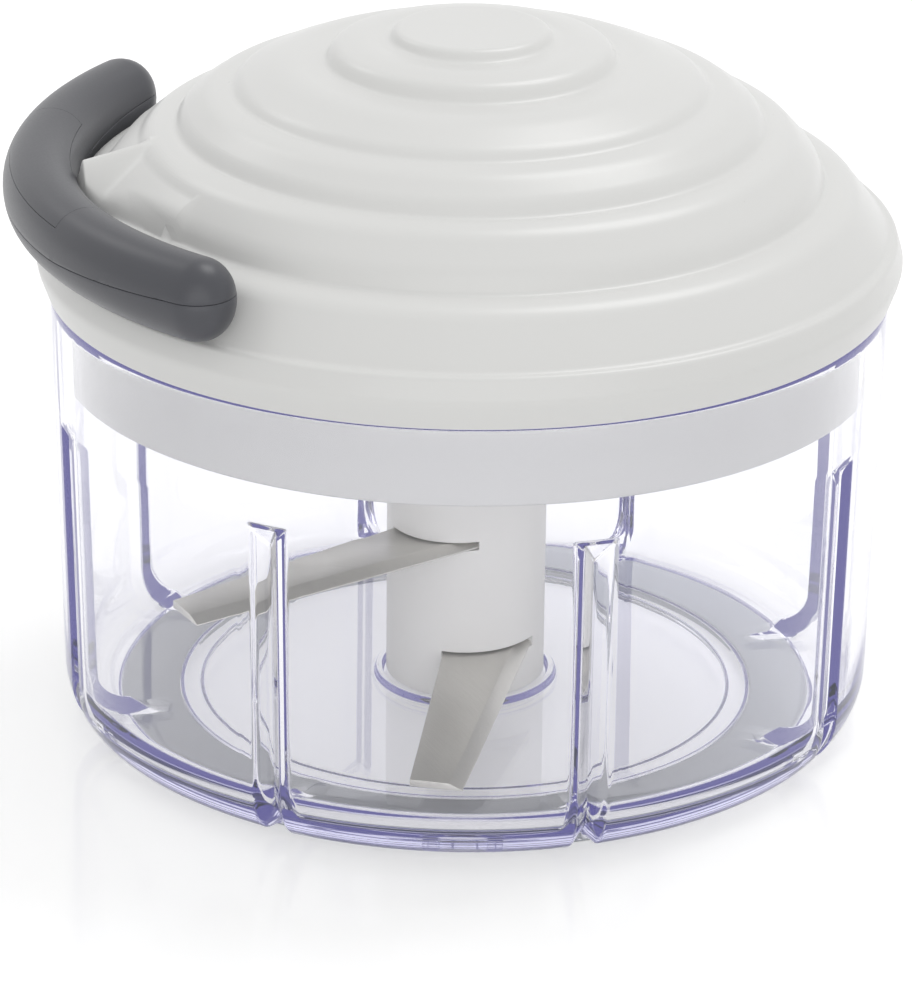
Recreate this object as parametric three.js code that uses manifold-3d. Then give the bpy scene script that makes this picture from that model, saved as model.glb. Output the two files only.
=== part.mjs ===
// A pull cord food chopper: clear bowl, domed lid with a recoil drum, grip handle and blade unit.
// Millimetres, +Z up. The bowl's axis is vertical, the handle lies on the -X side of the lid,
// and the origin is the middle of the whole object's footprint on the table.
import * as THREE from "three";
import { mergeVertices } from "three/addons/utils/BufferGeometryUtils.js";
import Module from "manifold-3d";

const wasm = await Module();
wasm.setup();

// How round the turned shapes are
const fineSides = 64;
const middleSides = 48;
const coarseSides = 32;
const smallSides = 16;
const cornerSteps = 3;

// General clearances
const seatGap = 0.3;
const runningGap = 0.12;
const pressGap = 0.1;
const overrun = 2;

// Bowl
const rimRadius = 62.5;
const rimHeight = 69.2;
const bowlWall = 2.2;
const bowlTaper = 1.2;
const cornerWidth = 6;
const cornerHeight = 8;
const footHeight = 1.2;
const floorUnder = 2.6;
const floorThickness = 2.4;
const floorCornerWidth = 6.5;
const floorCornerHeight = 5.5;

// Foot ring in its recess under the bowl
const footRimWidth = 2;
const footRingWidth = 9.3;
const beadWidth = 3;
const footChamfer = 0.5;

// Flutes pressed into the bowl's wall
const fluteCount = 8;
const fluteTurn = 7.5;
const fluteWidth = 4.4;
const fluteDepth = 2.4;
const fluteTopDrop = 18.2;
const fluteRamp = 3;
const fluteWallSteps = 3;
const ribWidth = 6;
const ribHeight = 2.1;

// Pivot post in the bowl, its pin and the low collar round the hub. The post's height is a share
// of the height up to the pin's top, and its hollow and socket are shares of the post's height.
const postFootRadius = 6.6;
const postTopRadius = 5;
const postShare = 0.576;
const postHollowRadius = 3.6;
const postHollowShare = 0.34;
const pinRadius = 2.5;
const pinSocketShare = 0.63;
const pinDome = 1;
const collarGap = 0.5;
const collarWall = 1.2;
const collarHeight = 0.8;

// Blade hub and its bush
const hubRadius = 12.1;
const hubWall = 4.9;
const hubWebHeight = 7.9;
const hubFloorGap = 0.5;
const hubTopGap = 0.6;
const hubEdge = 0.4;
const bushRadius = 4.8;
const bushPostGap = 2.3;

// Blades
const bladeThickness = 1.2;
const bladeTipGap = 5.8;
const bladeTipSkew = 0.6;
const bladeTrail = 2;
const bladeRootReach = 3;
const bladeRootLead = 10.7;
const bladeTipLead = 5.7;
const bladeTangDepth = 3.3;
const bladeBevel = 2;
const bladeEdge = 0.25;
const bladeSlope = 4.2;
const slotGap = 0.2;
const lowerBladeRise = 8;
const upperBladeRise = 25.9;
const lowerBladeAngle = -16.5;
const upperBladeAngle = -65;

// Lid dome
const domeRise = 38.5;
const lidOverhang = 1.9;
const lidFootOverhang = 0.5;
const lidWidestRise = 4.6;
const lidLipHeight = 1.4;
const lidLipInset = 0.35;
const lidWall = 2.4;

// Each terrace of the dome: where its riser starts and ends, as shares of the lid's radius
// and of the dome's height over the bowl's rim, and how much the tread outside it bulges.
const terraceShares = [
  { edge: 0.174, edgeHeight: 1, valley: 0.187, valleyHeight: 0.959, bulge: 0.005 },
  { edge: 0.314, edgeHeight: 0.937, valley: 0.333, valleyHeight: 0.877, bulge: 0.01 },
  { edge: 0.526, edgeHeight: 0.805, valley: 0.545, valleyHeight: 0.768, bulge: 0.012 },
  { edge: 0.658, edgeHeight: 0.683, valley: 0.675, valleyHeight: 0.63, bulge: 0.014 },
  { edge: 0.798, edgeHeight: 0.494, valley: 0.814, valleyHeight: 0.418, bulge: 0.014 },
  { edge: 0.951, edgeHeight: 0.246, valley: 0.964, valleyHeight: 0.213, bulge: 0.01 },
];

// Nose of the lid, where the cord comes out through an eyelet
const noseSetback = 7.2;
const noseLength = 15.9;
const noseDrop = 10.5;
const noseTipHalf = 3.7;
const noseRootHalf = 19.2;
const noseShoulderRise = 2.3;
const noseCrestRise = 5.3;
const eyeletRadius = 2.2;
const eyeletLength = 4.2;
const funnelRadius = 7;

// The nose widens from its tip to its root: shares of its length and width, and how far its two upper
// lines have risen there over their heights at the tip, as a share of the crest's rise.
const noseStations = [
  { along: 0, out: 0, shoulder: 0, crest: 0 },
  { along: 0.5, out: 1, shoulder: 0.1, crest: 0.27 },
  { along: 1, out: 1, shoulder: 0.25, crest: 0.54 },
];

// Lid cover with its skirt, turret, bearing and screws
const coverDrop = 12.2;
const coverBowlGap = 0.35;
const coverThickness = 2.2;
const coverWall = 2;
const skirtHeight = 15;
const turretWall = 2.3;
const bearingWall = 1.7;
const screwCount = 3;
const screwInset = 9.7;
const screwHeadRadius = 2.6;
const screwHeadHeight = 1;
const screwShankRadius = 1.25;
const screwLength = 12;
const screwHeadSink = 0.1;
const bossRadius = 3.8;

// Cord and drum
const cordRise = 15.3;
const cordRadius = 1;
const cordSides = 8;
const cordCentreRadius = 22;
const windingHeight = 5;
const windingEdge = 0.6;
const grooveWidth = 5.8;
const drumFlangeRadius = 28.5;
const drumFlange = 1.6;
const drumFoot = 2.5;
const drumCoreWall = 1.8;
const drumHubRadius = 9;
const drumWeb = 1.6;
const postRadius = 4;
const arborRadius = 5.4;
const springRoomGap = 0.7;
const springThickness = 0.6;
const springTurns = 6;
const springCoverThickness = 1.2;
const springCoverGap = 1;

// Drive coupler between the drum and the hub
const hexRadius = 5.2;
const hexSides = 6;
const journalRadius = 5.6;
const journalFlangeRadius = 9;
const journalFlange = 1;
const couplerReach = 10.5;
const washerThickness = 0.8;

// Handle: a C shaped bar that hugs the nose
const handleNoseGap = 0.75;
const handleLidGap = 4.1;
const handleHalfAngle = 41;
const handleWidth = 11;
const handleHeight = 12.1;
const handleRise = 0.05;
const handleWall = 2.2;
const handleSeamDrop = 0.6;
const handleSeamGap = 0.12;
const handleCoverAngle = 19.3;
const handleCoverLift = 3.6;
const handleSides = 14;
const handleSteps = 12;
const handleEndSteps = 3;
const knotRadius = 2.3;

// How far a flute is pressed in where it starts, and how small the handle's end faces are
const fluteStartShare = 0.05;
const handleEndShare = 0.25;

const bowlColour = 0xdfe3f0;
const whiteColour = 0xe4e3df;
const greyColour = 0x5b5c60;
const rubberColour = 0x9aa0a6;
const steelColour = 0xb9b8b4;
const cordColour = 0xdcdcd8;

const up = new THREE.Vector3(0, 0, 1);
const radians = THREE.MathUtils.degToRad;
const degrees = THREE.MathUtils.radToDeg;

// Heights and radii that several pieces share

const bowlBaseRadius = rimRadius - bowlTaper;
const floorTop = floorUnder + floorThickness;
const cornerTop = footHeight + cornerHeight;
const innerCornerTop = floorTop + floorCornerHeight;
const footRingOuter = bowlBaseRadius - cornerWidth - footRimWidth - seatGap;
const footRingInner = footRingOuter - footRingWidth;

const collarRadius = hubRadius + collarGap;
const hubBottom = floorTop + hubFloorGap;
const bladeTipReach = bowlBaseRadius - bowlWall - ribHeight - bladeTipGap;

const lidRadius = rimRadius + lidOverhang;
const lidTop = rimHeight + domeRise;
const lidFoot = rimHeight + seatGap;
const lidWidest = rimHeight + lidWidestRise;

const coverBottom = rimHeight - coverDrop;
const coverTop = coverBottom + coverThickness;
const coverRadius = wallRadiusAt(coverBottom) - bowlWall - coverBowlGap;
const screwCircle = coverRadius - screwInset;
const hubTop = coverBottom - hubTopGap;
const hubSocketBottom = coverBottom - couplerReach - seatGap;
const hubBoreTop = hubSocketBottom - hubWebHeight;
const pinTop = hubBoreTop - seatGap;
const postHeight = (pinTop - floorTop) * postShare;
const postTop = floorTop + postHeight;
const pinSocketBottom = postTop - postHeight * pinSocketShare;
const bushBottom = postTop + bushPostGap;

const cordHeight = rimHeight + cordRise;
const grooveBottom = cordHeight - grooveWidth / 2;
const grooveTop = cordHeight + grooveWidth / 2;
const drumCoreRadius = cordCentreRadius - cordRadius - pressGap;
const drumBottom = grooveBottom - drumFlange - drumFoot;
const drumWebTop = cordHeight + drumWeb / 2;
const drumWebBottom = cordHeight - drumWeb / 2;
const chamberBottom = grooveTop + drumFlange;
const springCoverTop = hollowHeightAt(drumFlangeRadius) - springRoomGap;
const chamberTop = springCoverTop - springCoverThickness - seatGap;
const springHeight = chamberTop - chamberBottom - seatGap * 2;
const chamberRadius = drumFlangeRadius - drumCoreWall;

const flangeTop = drumBottom - seatGap;
const flangeBottom = flangeTop - journalFlange;
const washerTop = flangeBottom - seatGap;
const washerBottom = washerTop - washerThickness;
const turretTop = washerBottom - seatGap;
const bearingRadius = journalRadius + bearingWall;
const turretRadius = bearingRadius + turretWall;

const noseReach = lidRadius - noseSetback;
const noseBottom = cordHeight - noseDrop;
const eyeletEnd = noseReach - eyeletLength;

const handleBendRadius = lidRadius + handleLidGap;
const handleCentreReach = noseReach + handleNoseGap + handleWidth / 2;
const handleCentreHeight = cordHeight + handleRise;
const knotReach = handleCentreReach - handleWidth / 2 + handleWall + knotRadius + seatGap;

// Shapes

// A geometry as a solid that can be joined and cut.
function solidOf(geometry) {
  const bare = geometry.clone();
  bare.deleteAttribute("normal");
  bare.deleteAttribute("uv");
  const merged = mergeVertices(bare, 1e-4);
  const index = merged.index.array;
  const triangles = [];
  for (let i = 0; i < index.length; i += 3) {
    const [a, b, c] = [index[i], index[i + 1], index[i + 2]];
    if (a !== b && b !== c && c !== a) triangles.push(a, b, c);
  }
  return new wasm.Manifold(
    new wasm.Mesh({
      numProp: 3,
      vertProperties: merged.attributes.position.array,
      triVerts: new Uint32Array(triangles),
    }),
  );
}

// A profile of [radius, height] points turned about the vertical axis.
function turned(points, sides = coarseSides) {
  const profile = points.map(([r, z]) => new THREE.Vector2(r, z));
  return solidOf(new THREE.LatheGeometry(profile, sides).rotateX(Math.PI / 2));
}

// A turned ring: the same, closed on itself.
function turnedRing(points, sides = coarseSides) {
  return turned([...points, points[0]], sides);
}

// A tube between two radii and two heights.
function sleeve(inner, outer, bottom, top, sides = coarseSides) {
  return turnedRing([[inner, bottom], [outer, bottom], [outer, top], [inner, top]], sides);
}

// A round rod between two heights.
function rod(radius, bottom, top, sides = smallSides) {
  return turned([[0, bottom], [radius, bottom], [radius, top], [0, top]], sides);
}

// A hexagonal rod, flats square to X.
function hexRod(radius, bottom, top) {
  return rod(radius, bottom, top, hexSides);
}

// A closed skin through sections that have the same number of points.
function lofted(sections) {
  const count = sections[0].length;
  const positions = sections.flat().flatMap((p) => [p.x, p.y, p.z]);
  const index = [];
  for (let s = 0; s + 1 < sections.length; s += 1) {
    for (let i = 0; i < count; i += 1) {
      const a = s * count + i;
      const b = s * count + ((i + 1) % count);
      index.push(a, b, b + count, a, b + count, a + count);
    }
  }
  const last = (sections.length - 1) * count;
  for (let i = 1; i + 1 < count; i += 1) {
    index.push(0, i + 1, i, last, last + i, last + i + 1);
  }
  const geometry = new THREE.BufferGeometry();
  geometry.setAttribute("position", new THREE.Float32BufferAttribute(positions, 3));
  geometry.setIndex(index);
  const made = solidOf(geometry);
  if (made.volume() >= 0) return made;
  return lofted(sections.map((section) => [...section].reverse()));
}

// A flat outline of [x, y] points raised between two heights.
function raised(outline, bottom, top) {
  const shape = new THREE.Shape(outline.map(([x, y]) => new THREE.Vector2(x, y)));
  const geometry = new THREE.ExtrudeGeometry(shape, { depth: top - bottom, bevelEnabled: false });
  return solidOf(geometry.translate(0, 0, bottom));
}

// A rod along +X from one reach to another, at a height. It can widen to a second radius.
function rodAlongX(radius, from, to, height, endRadius = radius) {
  const lying = new THREE.CylinderGeometry(radius, endRadius, to - from, smallSides);
  lying.rotateZ(Math.PI / 2).translate((from + to) / 2, 0, height);
  return solidOf(lying);
}

// Points of a quarter ellipse, from its side to its foot.
function quarter(sideRadius, sideHeight, width, height) {
  const points = [];
  for (let i = 0; i <= cornerSteps; i += 1) {
    const angle = ((Math.PI / 2) * i) / cornerSteps;
    points.push([sideRadius - width * (1 - Math.cos(angle)), sideHeight - height * Math.sin(angle)]);
  }
  return points;
}

function joined(solids) {
  return solids.reduce((a, b) => a.add(b));
}

function turnedAbout(solid, turn) {
  return solid.rotate([0, 0, turn]);
}

// The outside of the bowl's straight wall at a height.
function wallRadiusAt(height) {
  return rimRadius - (bowlTaper * (rimHeight - height)) / (rimHeight - cornerTop);
}

// Bowl

function outerCorner() {
  return quarter(bowlBaseRadius, cornerTop, cornerWidth, cornerHeight);
}

function innerCorner() {
  return quarter(bowlBaseRadius - bowlWall, innerCornerTop, floorCornerWidth, floorCornerHeight);
}

// A V shaped bar swept down a wall line, its apex inside and its open side beyond the wall.
// Each station is a radius, a height, the V's depth there and the wall's tilt.
function vSweep(stations, width, fullDepth) {
  const sections = stations.map(([radius, height, depth, tilt]) => {
    const outward = new THREE.Vector3(0, -Math.cos(tilt), -Math.sin(tilt));
    const wall = new THREE.Vector3(0, -radius, height);
    const apex = wall.clone().addScaledVector(outward, -depth);
    const outer = wall.clone().addScaledVector(outward, overrun);
    const half = ((width / 2) * (depth + overrun)) / fullDepth;
    return [outer.clone().setX(-half), outer.clone().setX(half), apex];
  });
  return lofted(sections);
}

// Stations down a wall: a sloping start, the straight wall, then round the corner.
function wallStations(inset, corner, depth) {
  const cornerStart = corner[0][1];
  const top = rimHeight - fluteTopDrop;
  const stations = [[wallRadiusAt(top) - inset, top, depth * fluteStartShare, 0]];
  for (let i = 0; i < fluteWallSteps; i += 1) {
    const height = top - fluteRamp - ((top - fluteRamp - cornerStart) * i) / fluteWallSteps;
    stations.push([wallRadiusAt(height) - inset, height, depth, 0]);
  }
  corner.forEach(([radius, height], i) => {
    stations.push([radius, height, depth, ((Math.PI / 2) * i) / cornerSteps]);
  });
  return stations;
}

// The bowl's outside, with the recess for the foot ring and the bead inside it.
function bowlOutside() {
  const beadOuter = footRingInner - seatGap;
  const recessOuter = footRingOuter + seatGap;
  return turned(
    [
      [0, floorUnder],
      [beadOuter - beadWidth, floorUnder],
      [beadOuter - beadWidth, footHeight],
      [beadOuter, footHeight],
      [beadOuter, floorUnder],
      [recessOuter, floorUnder],
      [recessOuter, footHeight],
      ...outerCorner().reverse(),
      [rimRadius, rimHeight],
      [0, rimHeight],
    ],
    fineSides,
  );
}

// The space that the bowl holds, open at its rim.
function bowlSpace() {
  return turned(
    [
      [0, floorTop],
      ...innerCorner().reverse(),
      [rimRadius - bowlWall, rimHeight],
      [rimRadius - bowlWall, rimHeight + overrun],
      [0, rimHeight + overrun],
    ],
    middleSides,
  );
}

// The post that holds the pin, and the low collar round the hub's foot.
function bowlPost() {
  const root = floorTop - floorThickness / 2;
  const line = [[0, root], [postFootRadius, root], [postTopRadius, postTop], [0, postTop]];
  const post = turned(line, smallSides);
  return post.add(sleeve(collarRadius, collarRadius + collarWall, root, floorTop + collarHeight));
}

// The pin's socket in the post's top and the hollow under the post.
function postHoles() {
  const socket = rod(pinRadius + pressGap, pinSocketBottom, postTop + overrun);
  const hollowTop = floorUnder + postHeight * postHollowShare;
  return socket.add(rod(postHollowRadius, floorUnder - overrun, hollowTop));
}

function bowl() {
  const groove = vSweep(wallStations(0, outerCorner(), fluteDepth), fluteWidth, fluteDepth);
  const rib = vSweep(wallStations(bowlWall, innerCorner(), ribHeight), ribWidth, ribHeight);
  const turns = Array.from({ length: fluteCount }, (_, i) => fluteTurn + (i * 360) / fluteCount);
  const grooves = joined(turns.map((turn) => turnedAbout(groove, turn)));
  const ribs = joined(turns.map((turn) => turnedAbout(rib, turn)));
  return bowlOutside()
    .subtract(grooves)
    .subtract(bowlSpace().subtract(ribs))
    .add(bowlPost())
    .subtract(postHoles());
}

function footRing() {
  const top = floorUnder - seatGap;
  return turnedRing(
    [
      [footRingInner, footChamfer],
      [footRingInner + footChamfer, 0],
      [footRingOuter - footChamfer, 0],
      [footRingOuter, footChamfer],
      [footRingOuter, top],
      [footRingInner, top],
    ],
    fineSides,
  );
}

function pivotPin() {
  const bottom = pinSocketBottom + pressGap;
  return turned(
    [
      [0, bottom],
      [pinRadius, bottom],
      [pinRadius, pinTop - pinDome],
      [pinRadius - pinDome, pinTop],
      [0, pinTop],
    ],
    smallSides,
  );
}

// Blade unit

// A blade in its own frame: -Y is outward, +X leads, and its top is level with 0 at the hub's
// side. Its tang ends in the hub's wall. The growth makes the slot that the hub has for it.
function bladeShape(growth) {
  const slope = Math.tan(radians(bladeSlope));
  const corner = (lead, reach, depth) => {
    return new THREE.Vector3(lead, -reach, (hubRadius - reach) * slope - depth);
  };
  const section = (trailReach, leadReach, lead) => [
    corner(-bladeTrail - growth, trailReach, -growth),
    corner(-bladeTrail - growth, trailReach, bladeThickness + growth),
    corner(lead + growth, leadReach, bladeThickness + growth),
    corner(lead + growth, leadReach, bladeThickness - bladeEdge - growth),
    corner(lead - bladeBevel + growth, leadReach, -growth),
  ];
  const root = bladeRootReach - growth;
  const full = lofted([
    section(root, root, bladeRootLead),
    section(bladeTipReach - bladeTipSkew + growth, bladeTipReach + growth, bladeTipLead),
  ]);
  return full.subtract(rod(hubRadius - bladeTangDepth - growth, -bladeTipReach, bladeTipReach, coarseSides));
}

function blade(rise, turn, growth = 0) {
  return turnedAbout(bladeShape(growth).translate([0, 0, floorTop + rise]), turn);
}

function bladeHub() {
  const bore = bushRadius + pressGap;
  const body = turned([
    [0, hubBoreTop],
    [bore, hubBoreTop],
    [bore, bushBottom],
    [hubRadius - hubWall, bushBottom],
    [hubRadius - hubWall, hubBottom],
    [hubRadius - hubEdge, hubBottom],
    [hubRadius, hubBottom + hubEdge],
    [hubRadius, hubTop - hubEdge],
    [hubRadius - hubEdge, hubTop],
    [0, hubTop],
  ]);
  const socket = hexRod(hexRadius + seatGap, hubSocketBottom, hubTop + overrun);
  return body
    .subtract(socket)
    .subtract(blade(lowerBladeRise, lowerBladeAngle, slotGap))
    .subtract(blade(upperBladeRise, upperBladeAngle, slotGap));
}

function hubBush() {
  return sleeve(pinRadius + runningGap, bushRadius, bushBottom, pinTop);
}

// Lid dome

// The dome's outer line from its foot up to the axis.
function domeLine() {
  const points = [
    [rimRadius + lidFootOverhang, lidFoot],
    [lidRadius - lidLipInset, lidWidest - lidLipHeight],
    [lidRadius, lidWidest],
  ];
  const shares = [...terraceShares].reverse();
  shares.forEach((step, i) => {
    const inner = shares[i + 1];
    points.push([step.valley * lidRadius, rimHeight + step.valleyHeight * domeRise]);
    points.push([step.edge * lidRadius, rimHeight + step.edgeHeight * domeRise]);
    if (!inner) return;
    const middle = (step.edge + inner.valley) / 2;
    const middleHeight = (step.edgeHeight + inner.valleyHeight) / 2 + inner.bulge;
    points.push([middle * lidRadius, rimHeight + middleHeight * domeRise]);
  });
  points.push([0, lidTop]);
  return points;
}

// Where the hollow under the dome passes each valley, from the top terrace down.
function hollowValleys() {
  return terraceShares.map((step) => [
    step.valley * (lidRadius - lidWall),
    rimHeight + step.valleyHeight * domeRise - lidWall,
  ]);
}

// How high the hollow under the dome is at a radius.
function hollowHeightAt(radius) {
  const valleys = hollowValleys();
  const next = valleys.findIndex(([valleyRadius]) => valleyRadius >= radius);
  if (next === 0) return valleys[0][1];
  const [outer, inner] = [valleys[next], valleys[next - 1]];
  return inner[1] + ((outer[1] - inner[1]) * (radius - inner[0])) / (outer[0] - inner[0]);
}

// The hollow under the dome, a wall's thickness inside a smooth line through its valleys.
function domeHollow() {
  return turned(
    [
      [0, lidFoot - overrun],
      [coverRadius + seatGap, lidFoot - overrun],
      [coverRadius + seatGap, lidFoot],
      [lidRadius - lidWall, lidWidest],
      ...hollowValleys().reverse(),
      [0, hollowHeightAt(0)],
    ],
    middleSides,
  );
}

// The nose: a wedge seen from above, with a crest along its middle. The margins leave its skin outside.
function noseBody(skin, tipMargin) {
  const sections = noseStations.map(({ along, out, shoulder, crest }) => {
    const x = -(noseReach - tipMargin - along * (noseLength - tipMargin));
    const half = noseTipHalf + out * (noseRootHalf - noseTipHalf) - skin;
    const shoulderTop = cordHeight + noseShoulderRise + shoulder * noseCrestRise - skin;
    const crestTop = cordHeight + noseCrestRise + crest * noseCrestRise - skin;
    return [
      new THREE.Vector3(x, -half, noseBottom),
      new THREE.Vector3(x, half, noseBottom),
      new THREE.Vector3(x, half, shoulderTop),
      new THREE.Vector3(x, 0, crestTop),
      new THREE.Vector3(x, -half, shoulderTop),
    ];
  });
  return lofted(sections);
}

// The nose's hollow and the way for the cord: the eyelet's seat and a funnel behind it.
function noseHollow() {
  const hollow = noseBody(lidWall, eyeletLength + lidWall);
  const seat = rodAlongX(eyeletRadius + pressGap, -noseReach - overrun, -eyeletEnd + pressGap, cordHeight);
  const root = noseLength - noseReach;
  const funnel = rodAlongX(cordRadius + seatGap * 2, -eyeletEnd, root, cordHeight, funnelRadius);
  return hollow.add(seat).add(funnel);
}

// The post that the drum turns on, and the arbor above it that holds the spring's inner end.
function drumPost() {
  const arbor = rod(arborRadius, chamberBottom + seatGap, lidTop - lidWall / 2);
  return arbor.add(rod(postRadius, drumWebTop + seatGap, chamberBottom + lidWall));
}

// One screw boss under the dome, with its pilot hole.
function screwBoss() {
  const bottom = coverTop + seatGap;
  const boss = rod(bossRadius, bottom, lidTop);
  const pilot = rod(screwShankRadius + pressGap, bottom - overrun, coverBottom + screwLength + overrun);
  return { boss: boss.translate([screwCircle, 0, 0]), pilot: pilot.translate([screwCircle, 0, 0]) };
}

function lidDome() {
  const filled = turned([[0, lidFoot], ...domeLine()], fineSides);
  const skin = domeLine().slice(1).map(([radius, height]) => [radius, height - lidWall / 2]);
  const core = turned([[0, coverTop], [coverRadius, coverTop], ...skin], fineSides);
  const { boss, pilot } = screwBoss();
  const bosses = joined(screwTurns().map((turn) => turnedAbout(boss, turn)));
  const pilots = joined(screwTurns().map((turn) => turnedAbout(pilot, turn)));
  return filled
    .add(noseBody(0, 0))
    .subtract(domeHollow())
    .subtract(noseHollow())
    .add(drumPost())
    .add(bosses.intersect(core))
    .subtract(pilots);
}

function cordEyelet() {
  const ring = rodAlongX(eyeletRadius, -noseReach, -eyeletEnd, cordHeight);
  const bore = rodAlongX(cordRadius + seatGap, -noseReach - overrun, -eyeletEnd + overrun, cordHeight);
  return ring.subtract(bore);
}

// Lid cover

function screwTurns() {
  return Array.from({ length: screwCount }, (_, i) => (i * 360) / screwCount);
}

function lidCover() {
  const cup = turned(
    [
      [0, coverBottom],
      [coverRadius, coverBottom],
      [coverRadius, coverBottom + skirtHeight],
      [coverRadius - coverWall, coverBottom + skirtHeight],
      [coverRadius - coverWall, coverTop],
      [0, coverTop],
    ],
    fineSides,
  );
  const turret = rod(turretRadius, coverBottom + coverThickness / 2, turretTop, coarseSides);
  const bore = rod(bearingRadius + pressGap, coverBottom - overrun, turretTop + overrun, coarseSides);
  const hole = rod(screwShankRadius + seatGap, coverBottom - overrun, coverTop + overrun);
  const sinkTop = coverBottom + screwHeadSink + screwHeadHeight + pressGap;
  const sink = rod(screwHeadRadius + seatGap, coverBottom - overrun, sinkTop);
  const cut = hole.add(sink).translate([screwCircle, 0, 0]);
  return cup
    .add(turret)
    .subtract(bore)
    .subtract(joined(screwTurns().map((turn) => turnedAbout(cut, turn))));
}

function coverScrew(turn) {
  const head = coverBottom + screwHeadSink;
  const shank = rod(screwShankRadius, head, head + screwLength);
  const made = rod(screwHeadRadius, head, head + screwHeadHeight).add(shank);
  return turnedAbout(made.translate([screwCircle, 0, 0]), turn);
}

function coverBearing() {
  return sleeve(journalRadius + runningGap, bearingRadius, coverBottom + seatGap, turretTop);
}

// Cord drum and drive

function cordDrum() {
  const body = turned([
    [0, drumBottom],
    [drumHubRadius, drumBottom],
    [drumHubRadius, grooveTop - drumCoreWall],
    [drumCoreRadius - drumCoreWall, grooveTop - drumCoreWall],
    [drumCoreRadius - drumCoreWall, grooveBottom - drumFlange],
    [drumFlangeRadius, grooveBottom - drumFlange],
    [drumFlangeRadius, grooveBottom],
    [drumCoreRadius, grooveBottom],
    [drumCoreRadius, grooveTop],
    [drumFlangeRadius, grooveTop],
    [drumFlangeRadius, chamberTop],
    [chamberRadius, chamberTop],
    [chamberRadius, chamberBottom],
    [postRadius + runningGap, chamberBottom],
    [postRadius + runningGap, drumWebTop],
    [0, drumWebTop],
  ]);
  return body.subtract(hexRod(hexRadius + pressGap, drumBottom - overrun, drumWebBottom));
}

// The recoil spring: a flat strip wound in a spiral from the arbor out to the chamber's wall.
function recoilSpring() {
  const inner = arborRadius + seatGap;
  const outer = chamberRadius - seatGap - springThickness;
  const steps = springTurns * smallSides;
  const side = (offset) =>
    Array.from({ length: steps + 1 }, (_, i) => {
      const angle = (2 * Math.PI * i) / smallSides;
      const radius = inner + ((outer - inner) * i) / steps + offset;
      return [radius * Math.cos(angle), radius * Math.sin(angle)];
    });
  const bottom = chamberBottom + seatGap;
  return raised([...side(0), ...side(springThickness).reverse()].reverse(), bottom, bottom + springHeight);
}

function springCover() {
  const bottom = chamberTop + seatGap;
  return sleeve(arborRadius + springCoverGap, drumFlangeRadius, bottom, bottom + springCoverThickness);
}

function driveCoupler() {
  const journal = rod(journalRadius, coverBottom + seatGap, flangeBottom + journalFlange / 2, coarseSides);
  const flange = rod(journalFlangeRadius, flangeBottom, flangeTop, coarseSides);
  return hexRod(hexRadius, coverBottom - couplerReach, drumWebBottom - pressGap).add(journal).add(flange);
}

function thrustWasher() {
  return sleeve(journalRadius + runningGap, journalFlangeRadius, washerBottom, washerTop);
}

// The turns of cord on the drum, as one round band.
function cordWinding() {
  const half = windingHeight / 2;
  const outer = cordCentreRadius + cordRadius;
  return turnedRing([
    [drumCoreRadius + pressGap, cordHeight - half],
    [outer - windingEdge, cordHeight - half],
    [outer, cordHeight - half + windingEdge],
    [outer, cordHeight + half - windingEdge],
    [outer - windingEdge, cordHeight + half],
    [drumCoreRadius + pressGap, cordHeight + half],
  ]);
}

// The run of cord from the drum through the eyelet to the knot in the handle.
function pullCord() {
  const leaveRadius = cordCentreRadius + cordRadius * 2 + seatGap;
  const leave = Math.acos(leaveRadius / eyeletEnd);
  const start = new THREE.Vector3(-leaveRadius * Math.cos(leave), leaveRadius * Math.sin(leave), cordHeight);
  const bend = new THREE.Vector3(-eyeletEnd, 0, cordHeight);
  const end = new THREE.Vector3(-knotReach + knotRadius + seatGap, 0, cordHeight);
  const sections = [start, bend, end].map((point, i) => {
    const along = i === 0 ? bend.clone().sub(start).normalize() : new THREE.Vector3(-1, 0, 0);
    const side = new THREE.Vector3().crossVectors(up, along);
    return Array.from({ length: cordSides }, (_, k) => {
      const angle = (2 * Math.PI * k) / cordSides;
      const across = side.clone().multiplyScalar(cordRadius * Math.cos(angle));
      return point.clone().add(across).addScaledVector(up, cordRadius * Math.sin(angle));
    });
  });
  return lofted(sections);
}

function cordKnot() {
  const ball = new THREE.SphereGeometry(knotRadius, cordSides, cordSides);
  return solidOf(ball.translate(-knotReach, 0, cordHeight));
}

// Handle

// Where the handle's cross section stands along its bend, and its size there: round ends that
// shrink to a small face, and the full section between them.
function handleStations(width) {
  const half = radians(handleHalfAngle);
  const end = Array.from({ length: handleEndSteps + 1 }, (_, i) => {
    const angle = ((Math.PI / 2) * i) / (handleEndSteps + 1);
    const turn = half + (width * Math.cos(angle)) / handleBendRadius;
    return [turn, Math.sin(angle) || handleEndShare];
  });
  const middle = Array.from({ length: handleSteps + 1 }, (_, i) => {
    return [half - (2 * half * i) / handleSteps, 1];
  });
  const otherEnd = end.map(([turn, share]) => [-turn, share]).reverse();
  return [...end, ...middle, ...otherEnd];
}

// The handle's solid bar, a margin inside its skin.
function handleBar(margin) {
  const width = handleWidth / 2 - margin;
  const height = handleHeight / 2 - margin;
  const centreX = handleBendRadius - handleCentreReach;
  const sections = handleStations(width).map(([turn, share]) =>
    Array.from({ length: handleSides }, (_, k) => {
      const angle = (2 * Math.PI * k) / handleSides;
      const radius = handleBendRadius + width * share * Math.cos(angle);
      const rise = height * share * Math.sin(angle);
      return new THREE.Vector3(
        centreX - radius * Math.cos(turn),
        radius * Math.sin(turn),
        handleCentreHeight + rise,
      );
    }),
  );
  return lofted(sections);
}

// A block round the whole handle between two heights.
function handleSlab(bottom, top) {
  const far = handleCentreReach + handleWidth;
  const half = handleBendRadius;
  return raised([[-far, -half], [0, -half], [0, half], [-far, half]], bottom, top);
}

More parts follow.
